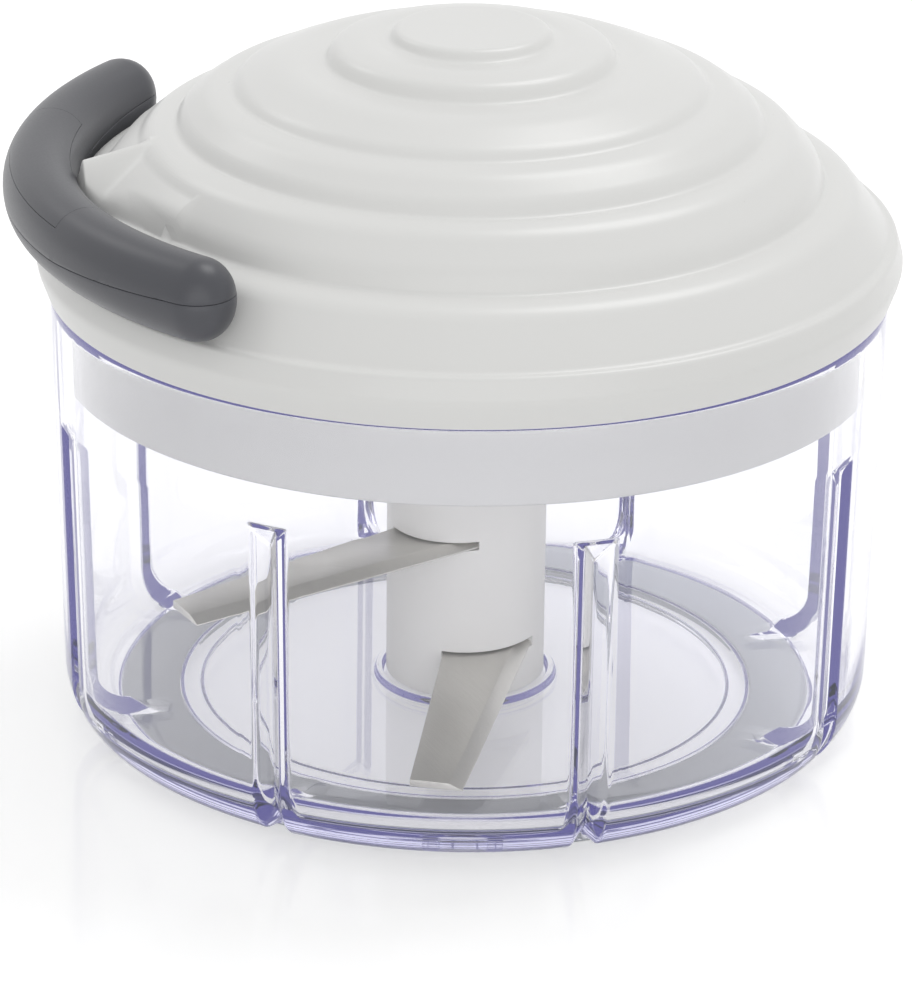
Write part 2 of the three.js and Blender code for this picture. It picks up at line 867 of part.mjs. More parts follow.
// The wedge of the bend that the centre cover spans, from a height up past the handle.
function coverWedge(spread, bottom) {
  const centreX = handleBendRadius - handleCentreReach;
  const reach = (handleBendRadius + handleWidth) / Math.cos(radians(spread));
  const far = centreX - reach * Math.cos(radians(spread));
  const side = reach * Math.sin(radians(spread));
  return raised([[centreX, 0], [far, side], [far, -side]], bottom, handleCentreHeight + handleHeight);
}

function handleParts() {
  const shell = handleBar(0).subtract(handleBar(handleWall));
  const seam = handleCentreHeight - handleSeamDrop;
  const halfSeam = handleSeamGap / 2;
  const coverSeat = handleCentreHeight + handleCoverLift;
  const seatSpread = handleCoverAngle + degrees(handleSeamGap / handleBendRadius);
  const holeEnd = handleWidth - handleCentreReach;
  const hole = rodAlongX(cordRadius + seatGap, -handleCentreReach, holeEnd, cordHeight);
  const below = handleSlab(handleCentreHeight - handleHeight, seam - halfSeam);
  const above = handleSlab(seam + halfSeam, handleCentreHeight + handleHeight);
  return {
    lower: shell.intersect(below).subtract(hole),
    upper: shell.intersect(above).subtract(coverWedge(seatSpread, coverSeat)).subtract(hole),
    cover: shell.intersect(coverWedge(handleCoverAngle, coverSeat + handleSeamGap)),
  };
}

// Assembly

const looks = {
  bowl: { color: bowlColour, roughness: 0.08, metalness: 0, transparent: true, opacity: 0.35 },
  white: { color: whiteColour, roughness: 0.3, metalness: 0 },
  grey: { color: greyColour, roughness: 0.45, metalness: 0 },
  rubber: { color: rubberColour, roughness: 0.8, metalness: 0 },
  steel: { color: steelColour, roughness: 0.3, metalness: 1 },
  cord: { color: cordColour, roughness: 0.9, metalness: 0 },
};

function meshOf(name, look, solid) {
  const mesh = solid.getMesh();
  const geometry = new THREE.BufferGeometry();
  geometry.setAttribute("position", new THREE.BufferAttribute(mesh.vertProperties, 3));
  geometry.setIndex(new THREE.BufferAttribute(mesh.triVerts, 1));
  geometry.computeVertexNormals();
  const made = new THREE.Mesh(geometry, new THREE.MeshStandardMaterial(looks[look]));
  made.name = name;
  return made;
}

const handle = handleParts();
const chopper = new THREE.Group();
chopper.add(
  meshOf("bowl", "bowl", bowl()),
  meshOf("foot_ring", "rubber", footRing()),
  meshOf("pivot_pin", "steel", pivotPin()),
  meshOf("blade_hub", "white", bladeHub()),
  meshOf("hub_bush", "white", hubBush()),
  meshOf("lower_blade", "steel", blade(lowerBladeRise, lowerBladeAngle)),
  meshOf("upper_blade", "steel", blade(upperBladeRise, upperBladeAngle)),
  meshOf("lid_dome", "white", lidDome()),
  meshOf("cord_eyelet", "white", cordEyelet()),
  meshOf("lid_cover", "white", lidCover()),
  meshOf("cover_bearing", "white", coverBearing()),
  meshOf("cord_drum", "white", cordDrum()),
  meshOf("recoil_spring", "steel", recoilSpring()),
  meshOf("spring_cover", "white", springCover()),
  meshOf("drive_coupler", "white", driveCoupler()),
  meshOf("thrust_washer", "steel", thrustWasher()),
  meshOf("cord_winding", "cord", cordWinding()),
  meshOf("pull_cord", "cord", pullCord()),
  meshOf("cord_knot", "cord", cordKnot()),
  meshOf("handle_upper", "grey", handle.upper),
  meshOf("handle_lower", "grey", handle.lower),
  meshOf("handle_centre_cover", "grey", handle.cover),
);
screwTurns().forEach((turn, i) => {
  chopper.add(meshOf("cover_screw_" + (i + 1), "steel", coverScrew(turn)));
});

// The handle stands out on one side, so the bowl's axis lies a little off the middle.
chopper.position.x = (handleCentreReach + handleWidth / 2 - lidRadius) / 2;

export default chopper;
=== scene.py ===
"""The looks of a pull cord food chopper, built round its packed CAD part.

Every piece is in metres and in the part's own frame: the bowl's axis is vertical and the handle is on the -X side.
"""

import math

import bmesh
import bpy
from bpy.props import FloatProperty, FloatVectorProperty, IntProperty, PointerProperty
from bpy.types import Operator, Panel, PropertyGroup
from mathutils import Matrix, Vector


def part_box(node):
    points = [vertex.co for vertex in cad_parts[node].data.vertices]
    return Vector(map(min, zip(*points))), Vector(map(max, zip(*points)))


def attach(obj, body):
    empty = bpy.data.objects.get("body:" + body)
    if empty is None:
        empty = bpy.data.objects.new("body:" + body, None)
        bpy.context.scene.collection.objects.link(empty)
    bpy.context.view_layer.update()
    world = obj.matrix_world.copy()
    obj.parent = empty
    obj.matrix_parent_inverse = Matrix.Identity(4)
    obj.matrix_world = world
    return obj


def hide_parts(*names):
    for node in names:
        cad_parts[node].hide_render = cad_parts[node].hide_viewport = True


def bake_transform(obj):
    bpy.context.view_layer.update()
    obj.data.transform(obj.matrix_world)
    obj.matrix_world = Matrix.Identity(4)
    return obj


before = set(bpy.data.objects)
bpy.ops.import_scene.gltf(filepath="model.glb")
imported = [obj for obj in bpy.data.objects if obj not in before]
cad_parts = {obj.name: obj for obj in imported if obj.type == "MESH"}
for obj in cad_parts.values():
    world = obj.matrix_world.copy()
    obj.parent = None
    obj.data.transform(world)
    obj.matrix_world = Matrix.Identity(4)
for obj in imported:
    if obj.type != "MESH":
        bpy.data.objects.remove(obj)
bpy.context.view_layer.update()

bl_info = {
    "name": "Pull cord food chopper",
    "version": (1, 0, 0),
    "blender": (4, 5, 0),
    "location": "View3D > Sidebar > Chopper",
    "description": "Builds a pull cord food chopper round its CAD part",
    "category": "Object",
}

MM = 0.001
UP = Vector((0, 0, 1))
FULL_TURN = 2 * math.pi
# Room between a rounded corner and the long face next to it, so that the long face shades flat
HOLD = 0.3 * MM
# Places nearer to each other than this are the same
TOUCH = 1e-7

# The bowl's axis, from the packed bowl
BOWL_LOW, BOWL_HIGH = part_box("bowl")
AXIS = Vector(((BOWL_LOW.x + BOWL_HIGH.x) / 2, 0, 0))


def linear(hex_colour):
    """Turns an sRGB hex colour into linear red, green, blue and alpha."""
    parts = [int(hex_colour[i : i + 2], 16) / 255 for i in (1, 3, 5)]
    return tuple(c / 12.92 if c <= 0.04045 else ((c + 0.055) / 1.055) ** 2.4 for c in parts) + (1.0,)


# Sizes and colours a user can change


def length(name, millimetres, description):
    """A length property that is given in millimetres and held in metres."""
    return FloatProperty(name=name, description=description, default=millimetres * MM, unit="LENGTH", precision=4)


def angle(name, degrees, description):
    """An angle property that is given in degrees and held in radians."""
    return FloatProperty(name=name, description=description, default=math.radians(degrees), subtype="ANGLE")


def number(name, value, description, **limits):
    """A plain number."""
    return FloatProperty(name=name, description=description, default=value, precision=4, **limits)


def colour(name, hex_colour, description):
    """A colour property that is given as an sRGB hex value."""
    return FloatVectorProperty(
        name=name, description=description, default=linear(hex_colour)[:3], subtype="COLOR", min=0, max=1
    )


class BowlSizes(PropertyGroup):
    """Sizes of the clear bowl and the ring under it."""

    rim_radius: length("Rim radius", 62.5, "Outside radius of the bowl at its rim")
    rim_height: length("Rim height", 69.2, "Height of the bowl's rim above the table")
    wall: length("Wall", 2.2, "Thickness of the bowl's side")
    taper: length("Taper", 1.2, "How much narrower the side is at its foot")
    corner_width: length("Corner width", 6, "How far in the rounded foot of the side goes")
    corner_height: length("Corner height", 8, "How high the rounded foot of the side is")
    foot_height: length("Foot height", 1.2, "Height of the foot rim above the table")
    floor_under: length("Floor underside", 2.6, "Height of the floor's underside")
    floor_top: length("Floor top", 5, "Height of the floor's upper face")
    floor_corner_width: length("Inner corner width", 6.5, "How far in the inside corner goes")
    floor_corner_height: length("Inner corner height", 5.5, "How high the inside corner is")
    ring_outer: length("Ring outer radius", 53, "Outside radius of the grey ring under the floor")
    ring_inner: length("Ring inner radius", 43.7, "Inside radius of the grey ring under the floor")
    ring_gap: length("Ring gap", 0.3, "Room round the grey ring in its recess")
    bead: length("Bead width", 3, "Width of the moulded bead inside the ring")
    post_foot: length("Post foot radius", 6.6, "Radius of the pivot post at the floor")
    post_top: length("Post top radius", 5, "Radius of the pivot post at its top")
    post_height: length("Post top height", 24, "Height of the pivot post's top")
    collar: length("Collar radius", 12.6, "Inside radius of the low collar round the hub")
    collar_wall: length("Collar wall", 1.2, "Thickness of the low collar")
    collar_height: length("Collar height", 0.8, "Height of the low collar above the floor")
    flute_count: IntProperty(name="Flutes", description="How many flutes the side has", default=8, min=1)
    flute_angle: angle("First flute", 7.5, "Where the first flute stands, from -Y towards +X")
    flute_width: length("Flute width", 4.4, "Width of a flute's groove at the outside")
    flute_depth: length("Flute depth", 2.4, "Depth of a flute's groove")
    flute_top: length("Flute top", 51, "Height at which a flute starts")
    flute_ramp: length("Flute ramp", 3.6, "Height of the slanted face at a flute's top")
    rib_width: length("Rib width", 6, "Width of the rib that a flute makes inside")
    rim_round: length("Rim rounding", 0.9, "Radius of the rim's rounded edges")
    rib_height: length("Rib height", 2.1, "How far that rib stands in")


class BladeSizes(PropertyGroup):
    """Sizes of the blade unit."""

    hub_radius: length("Hub radius", 12.1, "Radius of the white column")
    hub_bottom: length("Hub bottom", 5.5, "Height of the column's foot")
    hub_top: length("Hub top", 56.4, "Height of the column's top")
    bore: length("Hub bore", 7.2, "Radius of the hollow round the pivot post")
    bush_bore: length("Bush seat", 4.9, "Radius of the seat for the bush")
    bush_bottom: length("Bush bottom", 26.3, "Height of the bush's lower end")
    bore_top: length("Bore top", 38.3, "Height at which the hub's hollow ends")
    socket: length("Socket radius", 5.5, "Corner radius of the six sided drive socket")
    socket_bottom: length("Socket bottom", 46.2, "Height of the drive socket's floor")
    thickness: length("Blade thickness", 1.2, "Thickness of the steel")
    tip_reach: length("Blade reach", 51.2, "How far a blade's tip is from the axis")
    tip_skew: length("Tip skew", 0.6, "How much shorter the back of the tip is")
    trail: length("Back edge", 2, "How far behind its own radius the blade's back edge runs")
    root_lead: length("Root width", 10.7, "How far ahead the ground edge is at the hub")
    tip_lead: length("Tip width", 5.7, "How far ahead the ground edge is at the tip")
    grind: length("Ground width", 2, "Width of the ground face along the cutting edge")
    edge: length("Edge land", 0.25, "Thickness left at the cutting edge")
    slope: angle("Blade slope", 4.2, "How much a blade falls towards its tip")
    lower_top: length("Lower blade height", 13, "Height of the lower blade's top at the hub's side")
    upper_top: length("Upper blade height", 30.9, "Height of the upper blade's top at the hub's side")
    lower_angle: angle("Lower blade turn", -16.5, "Where the lower blade points, from -Y towards +X")
    upper_angle: angle("Upper blade turn", -65, "Where the upper blade points, from -Y towards +X")
    slot_gap: length("Slot gap", 0.2, "Room round a blade where it enters the hub")
    slot_radius: length("Slot floor", 8.8, "Radius at which a blade's slot in the hub ends")


class LidSizes(PropertyGroup):
    """Sizes of the lid's dome, nose and cover."""

    radius: length("Lid radius", 64.4, "Radius of the lid where it is widest")
    dome_rise: length("Dome rise", 38.49, "Height of the dome above the bowl's rim")
    foot: length("Foot radius", 63, "Radius of the dome's lower edge")
    foot_height: length("Foot height", 69.5, "Height of the dome's lower edge")
    widest: length("Widest height", 73.8, "Height at which the lid is widest")
    lip_drop: length("Lip height", 1.4, "Height of the lip under the widest line")
    lip_inset: length("Lip inset", 0.35, "How much narrower the lid is under that lip")
    wall: length("Lid wall", 2.4, "Thickness of the dome")
    nose_reach: length("Nose reach", 57.9, "How far the nose's tip is from the axis")
    nose_length: length("Nose length", 16.3, "Length of the nose from its tip to its root")
    nose_top: length("Nose top", 89.8, "Height of the nose's crest at its tip")
    nose_crest: length("Nose crest", 10.4, "Length of the crest along the nose's top")
    nose_crest_root: length("Crest root", 92.4, "Height at which the crest runs into the dome")
    nose_steepness: number("Crest slope", 0.85, "How steep the crest's sides are")
    nose_tip: length("Nose tip half width", 3.7, "Half the width of the nose at its tip")
    nose_root: length("Nose root half width", 19.2, "Half the width of the nose where it joins the dome")
    nose_flare: length("Nose flare", 7.9, "Length over which the nose widens from its tip")
    nose_round: length("Nose shoulder", 3.4, "How wide the rounded shoulder of the nose is")
    valley_round: length("Valley rounding", 0.6, "How wide the bend at the foot of a riser is")
    strip: length("Strip width", 1.3, "Width of the nearly level strip at the foot of a riser")
    edge_round: length("Edge rounding", 2.4, "How wide the bend at the top of a riser is")
    cord_height: length("Cord height", 84.5, "Height of the cord")
    eyelet: length("Eyelet radius", 2.2, "Outside radius of the cord's eyelet")
    eyelet_bore: length("Eyelet bore", 1.3, "Radius of the hole for the cord")
    eyelet_length: length("Eyelet length", 4.2, "Length of the cord's eyelet")
    cover_radius: length("Cover radius", 59.69, "Radius of the white cover under the dome")
    cover_bottom: length("Cover bottom", 57, "Height of the cover's underside")
    cover_thickness: length("Cover thickness", 2.2, "Thickness of the cover's disc")
    cover_wall: length("Cover wall", 2, "Thickness of the cover's skirt")
    cover_top: length("Cover top", 72, "Height of the skirt's upper edge")
    turret: length("Turret radius", 9.6, "Outside radius of the bearing's turret")
    turret_bore: length("Turret bore", 7.4, "Radius of the bearing's seat")
    turret_top: length("Turret top", 74.8, "Height of the turret")
    screw_circle: length("Screw circle", 49.99, "Radius at which the screws stand")
    screw_head: length("Screw head radius", 2.6, "Radius of a screw's head")


class HandleSizes(PropertyGroup):
    """Sizes of the grip and its cord."""

    reach: length("Grip reach", 63.45, "How far the middle of the grip is from the bowl's axis")
    height: length("Grip height", 84.55, "Height of the grip's middle")
    bend: length("Bend radius", 68.5, "Radius of the grip's bend")
    half_angle: angle("Half angle", 41, "Half the angle that the straight part of the grip covers")
    turn: angle("Grip turn", 0.55, "How much further round the grip's near end hangs than its far end")
    width: length("Grip width", 11, "Width of the grip")
    depth: length("Grip depth", 12.1, "Height of the grip's section")
    seam_drop: length("Seam drop", 1, "How far under the middle the two shells meet at the cover")
    seam_lift: length("Seam lift", 1.9, "How much higher the seam lies at the grip's ends")
    seam: length("Seam width", 0.06, "Width of the gaps between the shells")
    cover_angle: angle("Cover half angle", 19.3, "Half the angle that the centre cover spans")
    cover_lift: length("Cover lift", 3.7, "Height of the centre cover's edge above the middle")
    cover_depth: length("Cover depth", 0.8, "Depth of the seat of the centre cover")
    cord_radius: length("Cord radius", 1, "Radius of the pull cord")
    winding_radius: length("Winding radius", 22, "Radius of the cord's turns on the drum")
    knot_reach: length("Knot reach", 62.75, "How far the cord's knot is from the axis")
    knot_radius: length("Knot radius", 2.1, "Radius of the knot")


class Finishes(PropertyGroup):
    """Colours of the finishes, and of the painted glow and painted shade in the bowl's resin."""

    clear: colour("Clear resin", "#fdfdff", "Tint of light that goes through the bowl's surface")
    depth_tint: colour("Resin depth tint", "#6a62d8", "Colour of the resin where light runs a long way through it")
    # Painted glow: the resin glows this colour where light is trapped in a wall
    painted_glow_colour: colour("Resin deep tint", "#6d6aa0", "Colour of light that has gone to and fro inside a wall")
    # Painted shade: the bowl's lowest edge glows this dark colour, for the dark shadow line under its foot
    foot: colour("Resin foot tint", "#3c4048", "Colour of the bowl's lowest edge, where no light comes from below")
    depth_density: number("Resin density", 4, "How fast the resin takes that colour, per metre", min=0)
    white: colour("White plastic", "#e4e4e2", "Colour of the lid and the blade hub")
    bright: colour("Bright white plastic", "#f5f4f0", "Colour of the blade hub and the works")
    grey: colour("Grey plastic", "#46474d", "Colour of the grip")
    rubber: colour("Grey rubber", "#ccd0d4", "Colour of the ring under the bowl")
    blade: colour("Blade steel", "#d2d0ca", "Colour of the blades")
    steel: colour("Steel", "#b8b8b6", "Colour of the pin, the screws and the spring")
    cord: colour("Cord", "#d9d8d2", "Colour of the pull cord")


class StageSizes(PropertyGroup):
    """The camera, the lamps and the floor."""

    camera: FloatVectorProperty(
        name="Camera",
        description="Camera's place from the bowl's axis",
        default=(-0.1257, -0.713, 0.3351),
        unit="LENGTH",
    )
    aim_height: length("Aim height", 45, "Height on the bowl's axis that the camera is set out from")
    aim_across: number("Aim across", 0.00223, "How far right of the middle that point is, in lens lengths")
    aim_above: number("Aim above", 0.0145, "How far above the middle that point is, in lens lengths")
    roll: angle("Roll", 0.65, "How much the camera leans")
    lens: FloatProperty(name="Lens", description="Focal length of the camera", default=186, unit="CAMERA")
    floor_size: length("Floor size", 3000, "Width of the floor")
    top_lamp: number("Top lamp", 2, "Power of the lamp overhead, in watts")
    back_lamp: number("Back lamp", 0.4, "Power of the lamp behind on the left, in watts")
    front_lamp: number("Front lamp", 3.8, "Power of the low lamp in front, in watts")
    sky: number("Sky", 0.65, "Strength of the light from all round")


# Each terrace of the dome: where its riser starts and ends, as shares of the lid's radius and of the dome's
# height over the bowl's rim, and how far under its foot the tread outside it bends down
TERRACES = (
    (0.174, 1, 0.187, 0.959, 0.002),
    (0.314, 0.937, 0.333, 0.877, 0.005),
    (0.526, 0.805, 0.545, 0.768, 0.018),
    (0.658, 0.683, 0.675, 0.63, 0.024),
    (0.798, 0.494, 0.814, 0.418, 0.024),
    (0.951, 0.246, 0.964, 0.213, 0),
)


# Shapes


def profile_mesh(points):
    """A bmesh with one open line through points that are given as radius and height."""
    bm = bmesh.new()
    verts = [bm.verts.new((r, 0, z)) for r, z in points]
    for pair in zip(verts, verts[1:]):
        bm.edges.new(pair)
    return bm


def rounded(points, radius, steps=3):
    """The same line with its corners rounded, all alike or each by its own radius."""
    # A round takes up less than half of a line next to it, and a bend that is nearly straight isn't rounded
    most, straight = 0.48, math.radians(172)
    made = [points[0]]
    radii = radius if isinstance(radius, list) else [radius] * len(points)
    for before, corner, after, own in zip(points, points[1:], points[2:], radii[1:]):
        here = Vector(corner)
        back, on = Vector(before) - here, Vector(after) - here
        reach = min(own, back.length * most, on.length * most)
        if back.angle(on, math.pi) > straight:
            made.append(corner)
            continue
        start, end = here + back.normalized() * reach, here + on.normalized() * reach
        hold = reach + HOLD
        # A long line gets one more point next to the round
        if back.length > 4 * hold:
            made.append(tuple(here + back.normalized() * hold))
        for i in range(steps + 1):
            t = i / steps
            made.append(tuple(start * (1 - t) ** 2 + here * (2 * t * (1 - t)) + end * t**2))
        if on.length > 4 * hold:
            made.append(tuple(here + on.normalized() * hold))
    made.append(points[-1])
    return made


def spin(bm, geom, turn, steps, centre=(0, 0, 0), merge=False, duplicate=False):
    """Turns a line or a part of a mesh about a vertical axis and gives what its last step made."""
    made = bmesh.ops.spin(
        bm,
        geom=geom,
        cent=centre,
        axis=UP,
        dvec=(0, 0, 0),
        angle=turn,
        steps=steps,
        use_merge=merge,
        use_normal_flip=False,
        use_duplicate=duplicate,
    )
    return made["geom_last"]


def clean(bm, distance=0.002 * MM):
    """Merges doubles and makes the faces point outwards."""
    bmesh.ops.remove_doubles(bm, verts=bm.verts, dist=distance)
    bmesh.ops.dissolve_degenerate(bm, edges=bm.edges, dist=distance / 2)
    bmesh.ops.recalc_face_normals(bm, faces=bm.faces)


def turned(points, steps):
    """The skin that a line of radius and height leaves when it turns all the way round."""
    bm = profile_mesh(points)
    spin(bm, bm.verts[:] + bm.edges[:], FULL_TURN, steps, merge=True)
    clean(bm)
    return bm


def lathe(points, steps):
    """A closed turned piece from its profile. A profile that doesn't end on the axis is closed on itself."""
    on_axis = points[0][0] == 0 and points[-1][0] == 0
    return turned(points if on_axis else [*points, points[0]], steps)


def rotate(bm, turn, axis="Z", centre=(0, 0, 0)):
    """Turns a whole mesh."""
    bmesh.ops.rotate(bm, verts=bm.verts, cent=centre, matrix=Matrix.Rotation(turn, 3, axis))


def polar(radius, turn, height=0):
    """The place at a radius, an angle and a height."""
    return Vector((radius * math.cos(turn), radius * math.sin(turn), height))


def verts_of(geom):
    """The corners among corners, edges and faces."""
    return [part for part in geom if isinstance(part, bmesh.types.BMVert)]


def edges_of(geom):
    """The edges among corners, edges and faces."""
    return [part for part in geom if isinstance(part, bmesh.types.BMEdge)]


def behind(co, planes):
    """Whether a place is behind every plane, each a point and a normal that faces out."""
    return all((co - point).dot(normal) < 0 for point, normal in planes)


def cut(bm, faces, point, normal, outside=False):
    """Cuts faces along a plane. It can take away what lies outside it."""
    geom = set(faces)
    for face in faces:
        geom.update(face.verts)
        geom.update(face.edges)
    return bmesh.ops.bisect_plane(
        bm, geom=list(geom), dist=TOUCH, plane_co=point, plane_no=normal, clear_outer=outside, clear_inner=False
    )["geom_cut"]


def push(bm, faces, keep=False):
    """Extrudes faces and gives the new corners, to be moved. The faces go, or are kept to make a skin a shell."""
    made = bmesh.ops.extrude_face_region(bm, geom=faces)["geom"]
    if not keep:
        bmesh.ops.delete(bm, geom=faces, context="FACES")
    return verts_of(made)


def press_in(bm, faces, depth, keep=False):
    """Presses faces in, each corner square to the faces round it."""
    bm.normal_update()
    facing = {}
    for face in faces:
        for vert in face.verts:
            facing[vert.co[:]] = facing.get(vert.co[:], Vector()) + face.normal * face.calc_area()
    for vert in push(bm, faces, keep):
        vert.co -= facing[vert.co[:]].normalized() * depth


def circle_edges(bm, radius, height, sides, centre=(0, 0)):
    """A circle of edges at a height."""
    made = bmesh.ops.create_circle(
        bm, segments=sides, radius=radius, matrix=Matrix.Translation((centre[0], centre[1], height))
    )
    return list({edge for vert in made["verts"] for edge in vert.link_edges})


def fill(bm, edges, normal):
    """Fills the flat face between an outline and the holes in it."""
    bmesh.ops.triangle_fill(bm, use_beauty=True, use_dissolve=False, edges=edges, normal=normal)


def sink(bm, edges, rise):
    """Draws a wall from a loop of edges, straight up or down, and closes its end."""
    made = bmesh.ops.extrude_edge_only(bm, edges=edges)["geom"]
    bmesh.ops.translate(bm, verts=verts_of(made), vec=(0, 0, rise))
    bmesh.ops.contextual_create(bm, geom=edges_of(made))


def soften(bm, edges, width):
    """Rounds edges a little."""
    bmesh.ops.bevel(
        bm, geom=edges, offset=width, offset_type="OFFSET", affect="EDGES", segments=2, profile=0.5, material=-1
    )


def piece(bm, name, body, material, replaces, sharp=40):
    """Makes an object of a mesh that is set out round the bowl's axis, and ties it to the frame."""
    bmesh.ops.translate(bm, verts=bm.verts, vec=AXIS)
    mesh = bpy.data.meshes.new(name)
    bm.to_mesh(mesh)
    bm.free()
    mesh.polygons.foreach_set("use_smooth", [True] * len(mesh.polygons))
    mesh.set_sharp_from_angle(angle=math.radians(sharp))
    made = bpy.data.objects.new(name, mesh)
    bpy.context.scene.collection.objects.link(made)
    mesh.materials.append(material)
    if body:
        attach(made, body)
    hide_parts(*replaces)
    return made


# Materials


def add_node(tree, kind, inputs=None, **settings):
    """Adds a node, sets its properties, and sets or links its inputs."""
    node = tree.nodes.new(kind)
    for name, value in settings.items():
        setattr(node, name, value)
    for key, value in (inputs or {}).items():
        if isinstance(value, bpy.types.NodeSocket):
            tree.links.new(value, node.inputs[key])
        else:
            node.inputs[key].default_value = value
    return node


def empty_material(name):
    """A material with no nodes and its tree. A material of that name is used again."""
    material = bpy.data.materials.get(name) or bpy.data.materials.new(name)
    material.use_nodes = True
    material.node_tree.nodes.clear()
    return material, material.node_tree


def shaded(value, factor=1):
    """A colour made lighter or darker, with its alpha."""
    return (*(min(part * factor, 1) for part in value), 1.0)


def maths(tree, operation, *values):
    """What a maths node makes of its values."""
    return add_node(tree, "ShaderNodeMath", dict(enumerate(values)), operation=operation).outputs[0]


def ranged(tree, value, source=(0, 1), target=(0, 1)):
    """A value carried over from one range to another."""
    keys = ("Value", "From Min", "From Max", "To Min", "To Max")
    return add_node(tree, "ShaderNodeMapRange", dict(zip(keys, (value, *source, *target)))).outputs["Result"]


def blended(tree, share, first, second):
    """A colour between two colours."""
    return add_node(tree, "ShaderNodeMix", {0: share, 6: first, 7: second}, data_type="RGBA").outputs[2]


def either(tree, share, first, second):
    """A shader between two shaders."""
    return add_node(tree, "ShaderNodeMixShader", {0: share, 1: first, 2: second}).outputs["Shader"]


def object_place(tree):
    """Where a point of the surface is in the piece's own frame, in metres."""
    return add_node(tree, "ShaderNodeTexCoord").outputs["Object"]


def surface_noise(tree, size, detail=2, stretch=(1, 1, 1), turn=0):
    """Noise whose features have a real size, in metres, in the piece's own place."""
    inputs = {"Vector": object_place(tree), "Rotation": (0, 0, turn), "Scale": stretch}
    place = add_node(tree, "ShaderNodeMapping", inputs, vector_type="TEXTURE").outputs["Vector"]
    inputs = {"Vector": place, "Scale": 1 / size, "Detail": detail}
    return add_node(tree, "ShaderNodeTexNoise", inputs).outputs["Fac"]


def coat(tree, tint, roughness, relief, more):
    """A surface with a tint, a roughness, a relief as height, strength and depth, and more settings."""
    bump = add_node(tree, "ShaderNodeBump", dict(zip(("Height", "Strength", "Distance"), relief)))
    inputs = {"Base Color": tint, "Roughness": roughness, "Normal": bump.outputs["Normal"], **more}
    return add_node(tree, "ShaderNodeBsdfPrincipled", inputs).outputs["BSDF"]


def show(tree, surface):
    """Ends a material's tree with an output, and gives the output."""
    return add_node(tree, "ShaderNodeOutputMaterial", {"Surface": surface})


# Each moulded finish: the name of its colour, its roughness, the width and the height of the grain that the
# mould's face leaves, how far its colour drifts, and its sheen
MOULDED = {
    # ABS, gloss moulded: warm white, soft reflections, hardly any grain
    "moulded_white_abs": ("white", 0.3, 1.4 * MM, 0.004 * MM, 0.012, 0),
    # POM, moulded: the plainer white of bearings and the drum, a little rougher
    "moulded_white_pom": ("bright", 0.42, 0.6 * MM, 0.006 * MM, 0.03, 0),
    # ABS with a fine spark eroded texture: dark grey with a broad satin sheen
    "spark_textured_grey_abs": ("grey", 0.36, 0.35 * MM, 0.012 * MM, 0.05, 0),
    # TPE, moulded: matt grey with a soft edge to its highlights
    "moulded_grey_tpe": ("rubber", 0.75, 0.5 * MM, 0.02 * MM, 0.05, 0.1),
}


def moulded(name):
    """Opaque moulded plastic: one colour with a faint drift, and the grain that the mould's face leaves."""
    key, roughness, grain, grain_height, drift, sheen = MOULDED[name]
    value = getattr(bpy.context.scene.chopper_finishes, key)
    material, tree = empty_material(name)
    tint = blended(tree, surface_noise(tree, 18 * MM), shaded(value, 1 - drift), shaded(value, 1 + drift))
    fine = surface_noise(tree, grain, detail=3)
    gloss = ranged(tree, fine, target=(roughness * 0.85, roughness * 1.15))
    show(tree, coat(tree, tint, gloss, (fine, 0.6, grain_height), {"IOR": 1.53, "Sheen Weight": sheen}))
    return material


def blade_steel(name, turn):
    """Stainless steel, ground along the blade: fine lines that blur reflections one way."""
    value = bpy.context.scene.chopper_finishes.blade
    material, tree = empty_material(name)
    lines = surface_noise(tree, 0.25 * MM, detail=4, stretch=(1, 60, 1), turn=turn)
    tint = blended(tree, lines, shaded(value, 0.9), shaded(value, 1.06))
    gloss = ranged(tree, surface_noise(tree, 7 * MM), target=(0.3, 0.42))
    show(tree, coat(tree, tint, gloss, (lines, 0.35, 0.01 * MM), {"Metallic": 1.0, "Anisotropic": 0.4}))
    return material


def plain_steel():
    """Steel, turned and zinc plated: bright, with faint tool marks round its axis."""
    value = bpy.context.scene.chopper_finishes.steel
    material, tree = empty_material("zinc_plated_steel")
    marks = surface_noise(tree, 0.4 * MM, detail=3, stretch=(8, 8, 1))
    tint = blended(tree, marks, shaded(value, 0.88), shaded(value, 1.05))
    gloss = ranged(tree, marks, target=(0.22, 0.38))
    show(tree, coat(tree, tint, gloss, (marks, 0.3, 0.008 * MM), {"Metallic": 1.0}))
    return material


def braided_cord():
    """Polyester, braided: matt off white strands that cross at a slant."""
    value = bpy.context.scene.chopper_finishes.cord
    material, tree = empty_material("braided_polyester")
    # A strand crosses the cord at every pitch, and four of them wind each way
    pitch, strands = 1.2 * MM, 4
    inputs = {"Vector": object_place(tree), "Location": (0, 0, -bpy.context.scene.chopper_lid.cord_height)}
    middle = add_node(tree, "ShaderNodeMapping", inputs).outputs["Vector"]
    x, y, z = add_node(tree, "ShaderNodeSeparateXYZ", {"Vector": middle}).outputs
    along = maths(tree, "MULTIPLY", x, FULL_TURN / pitch)
    around = maths(tree, "MULTIPLY", maths(tree, "ARCTAN2", z, y), strands)
    waves = [maths(tree, "SINE", maths(tree, way, along, around)) for way in ("ADD", "SUBTRACT")]
    height = ranged(tree, maths(tree, "MULTIPLY", *waves), source=(-1, 1))
    # Painted shade and light: the cord is darker in the hollows between the strands and a little lighter on their
    # crests
    tint = blended(tree, height, shaded(value, 0.72), shaded(value, 1.05))
    show(tree, coat(tree, tint, 0.85, (height, 0.7, 0.15 * MM), {"Sheen Weight": 0.3}))
    return material


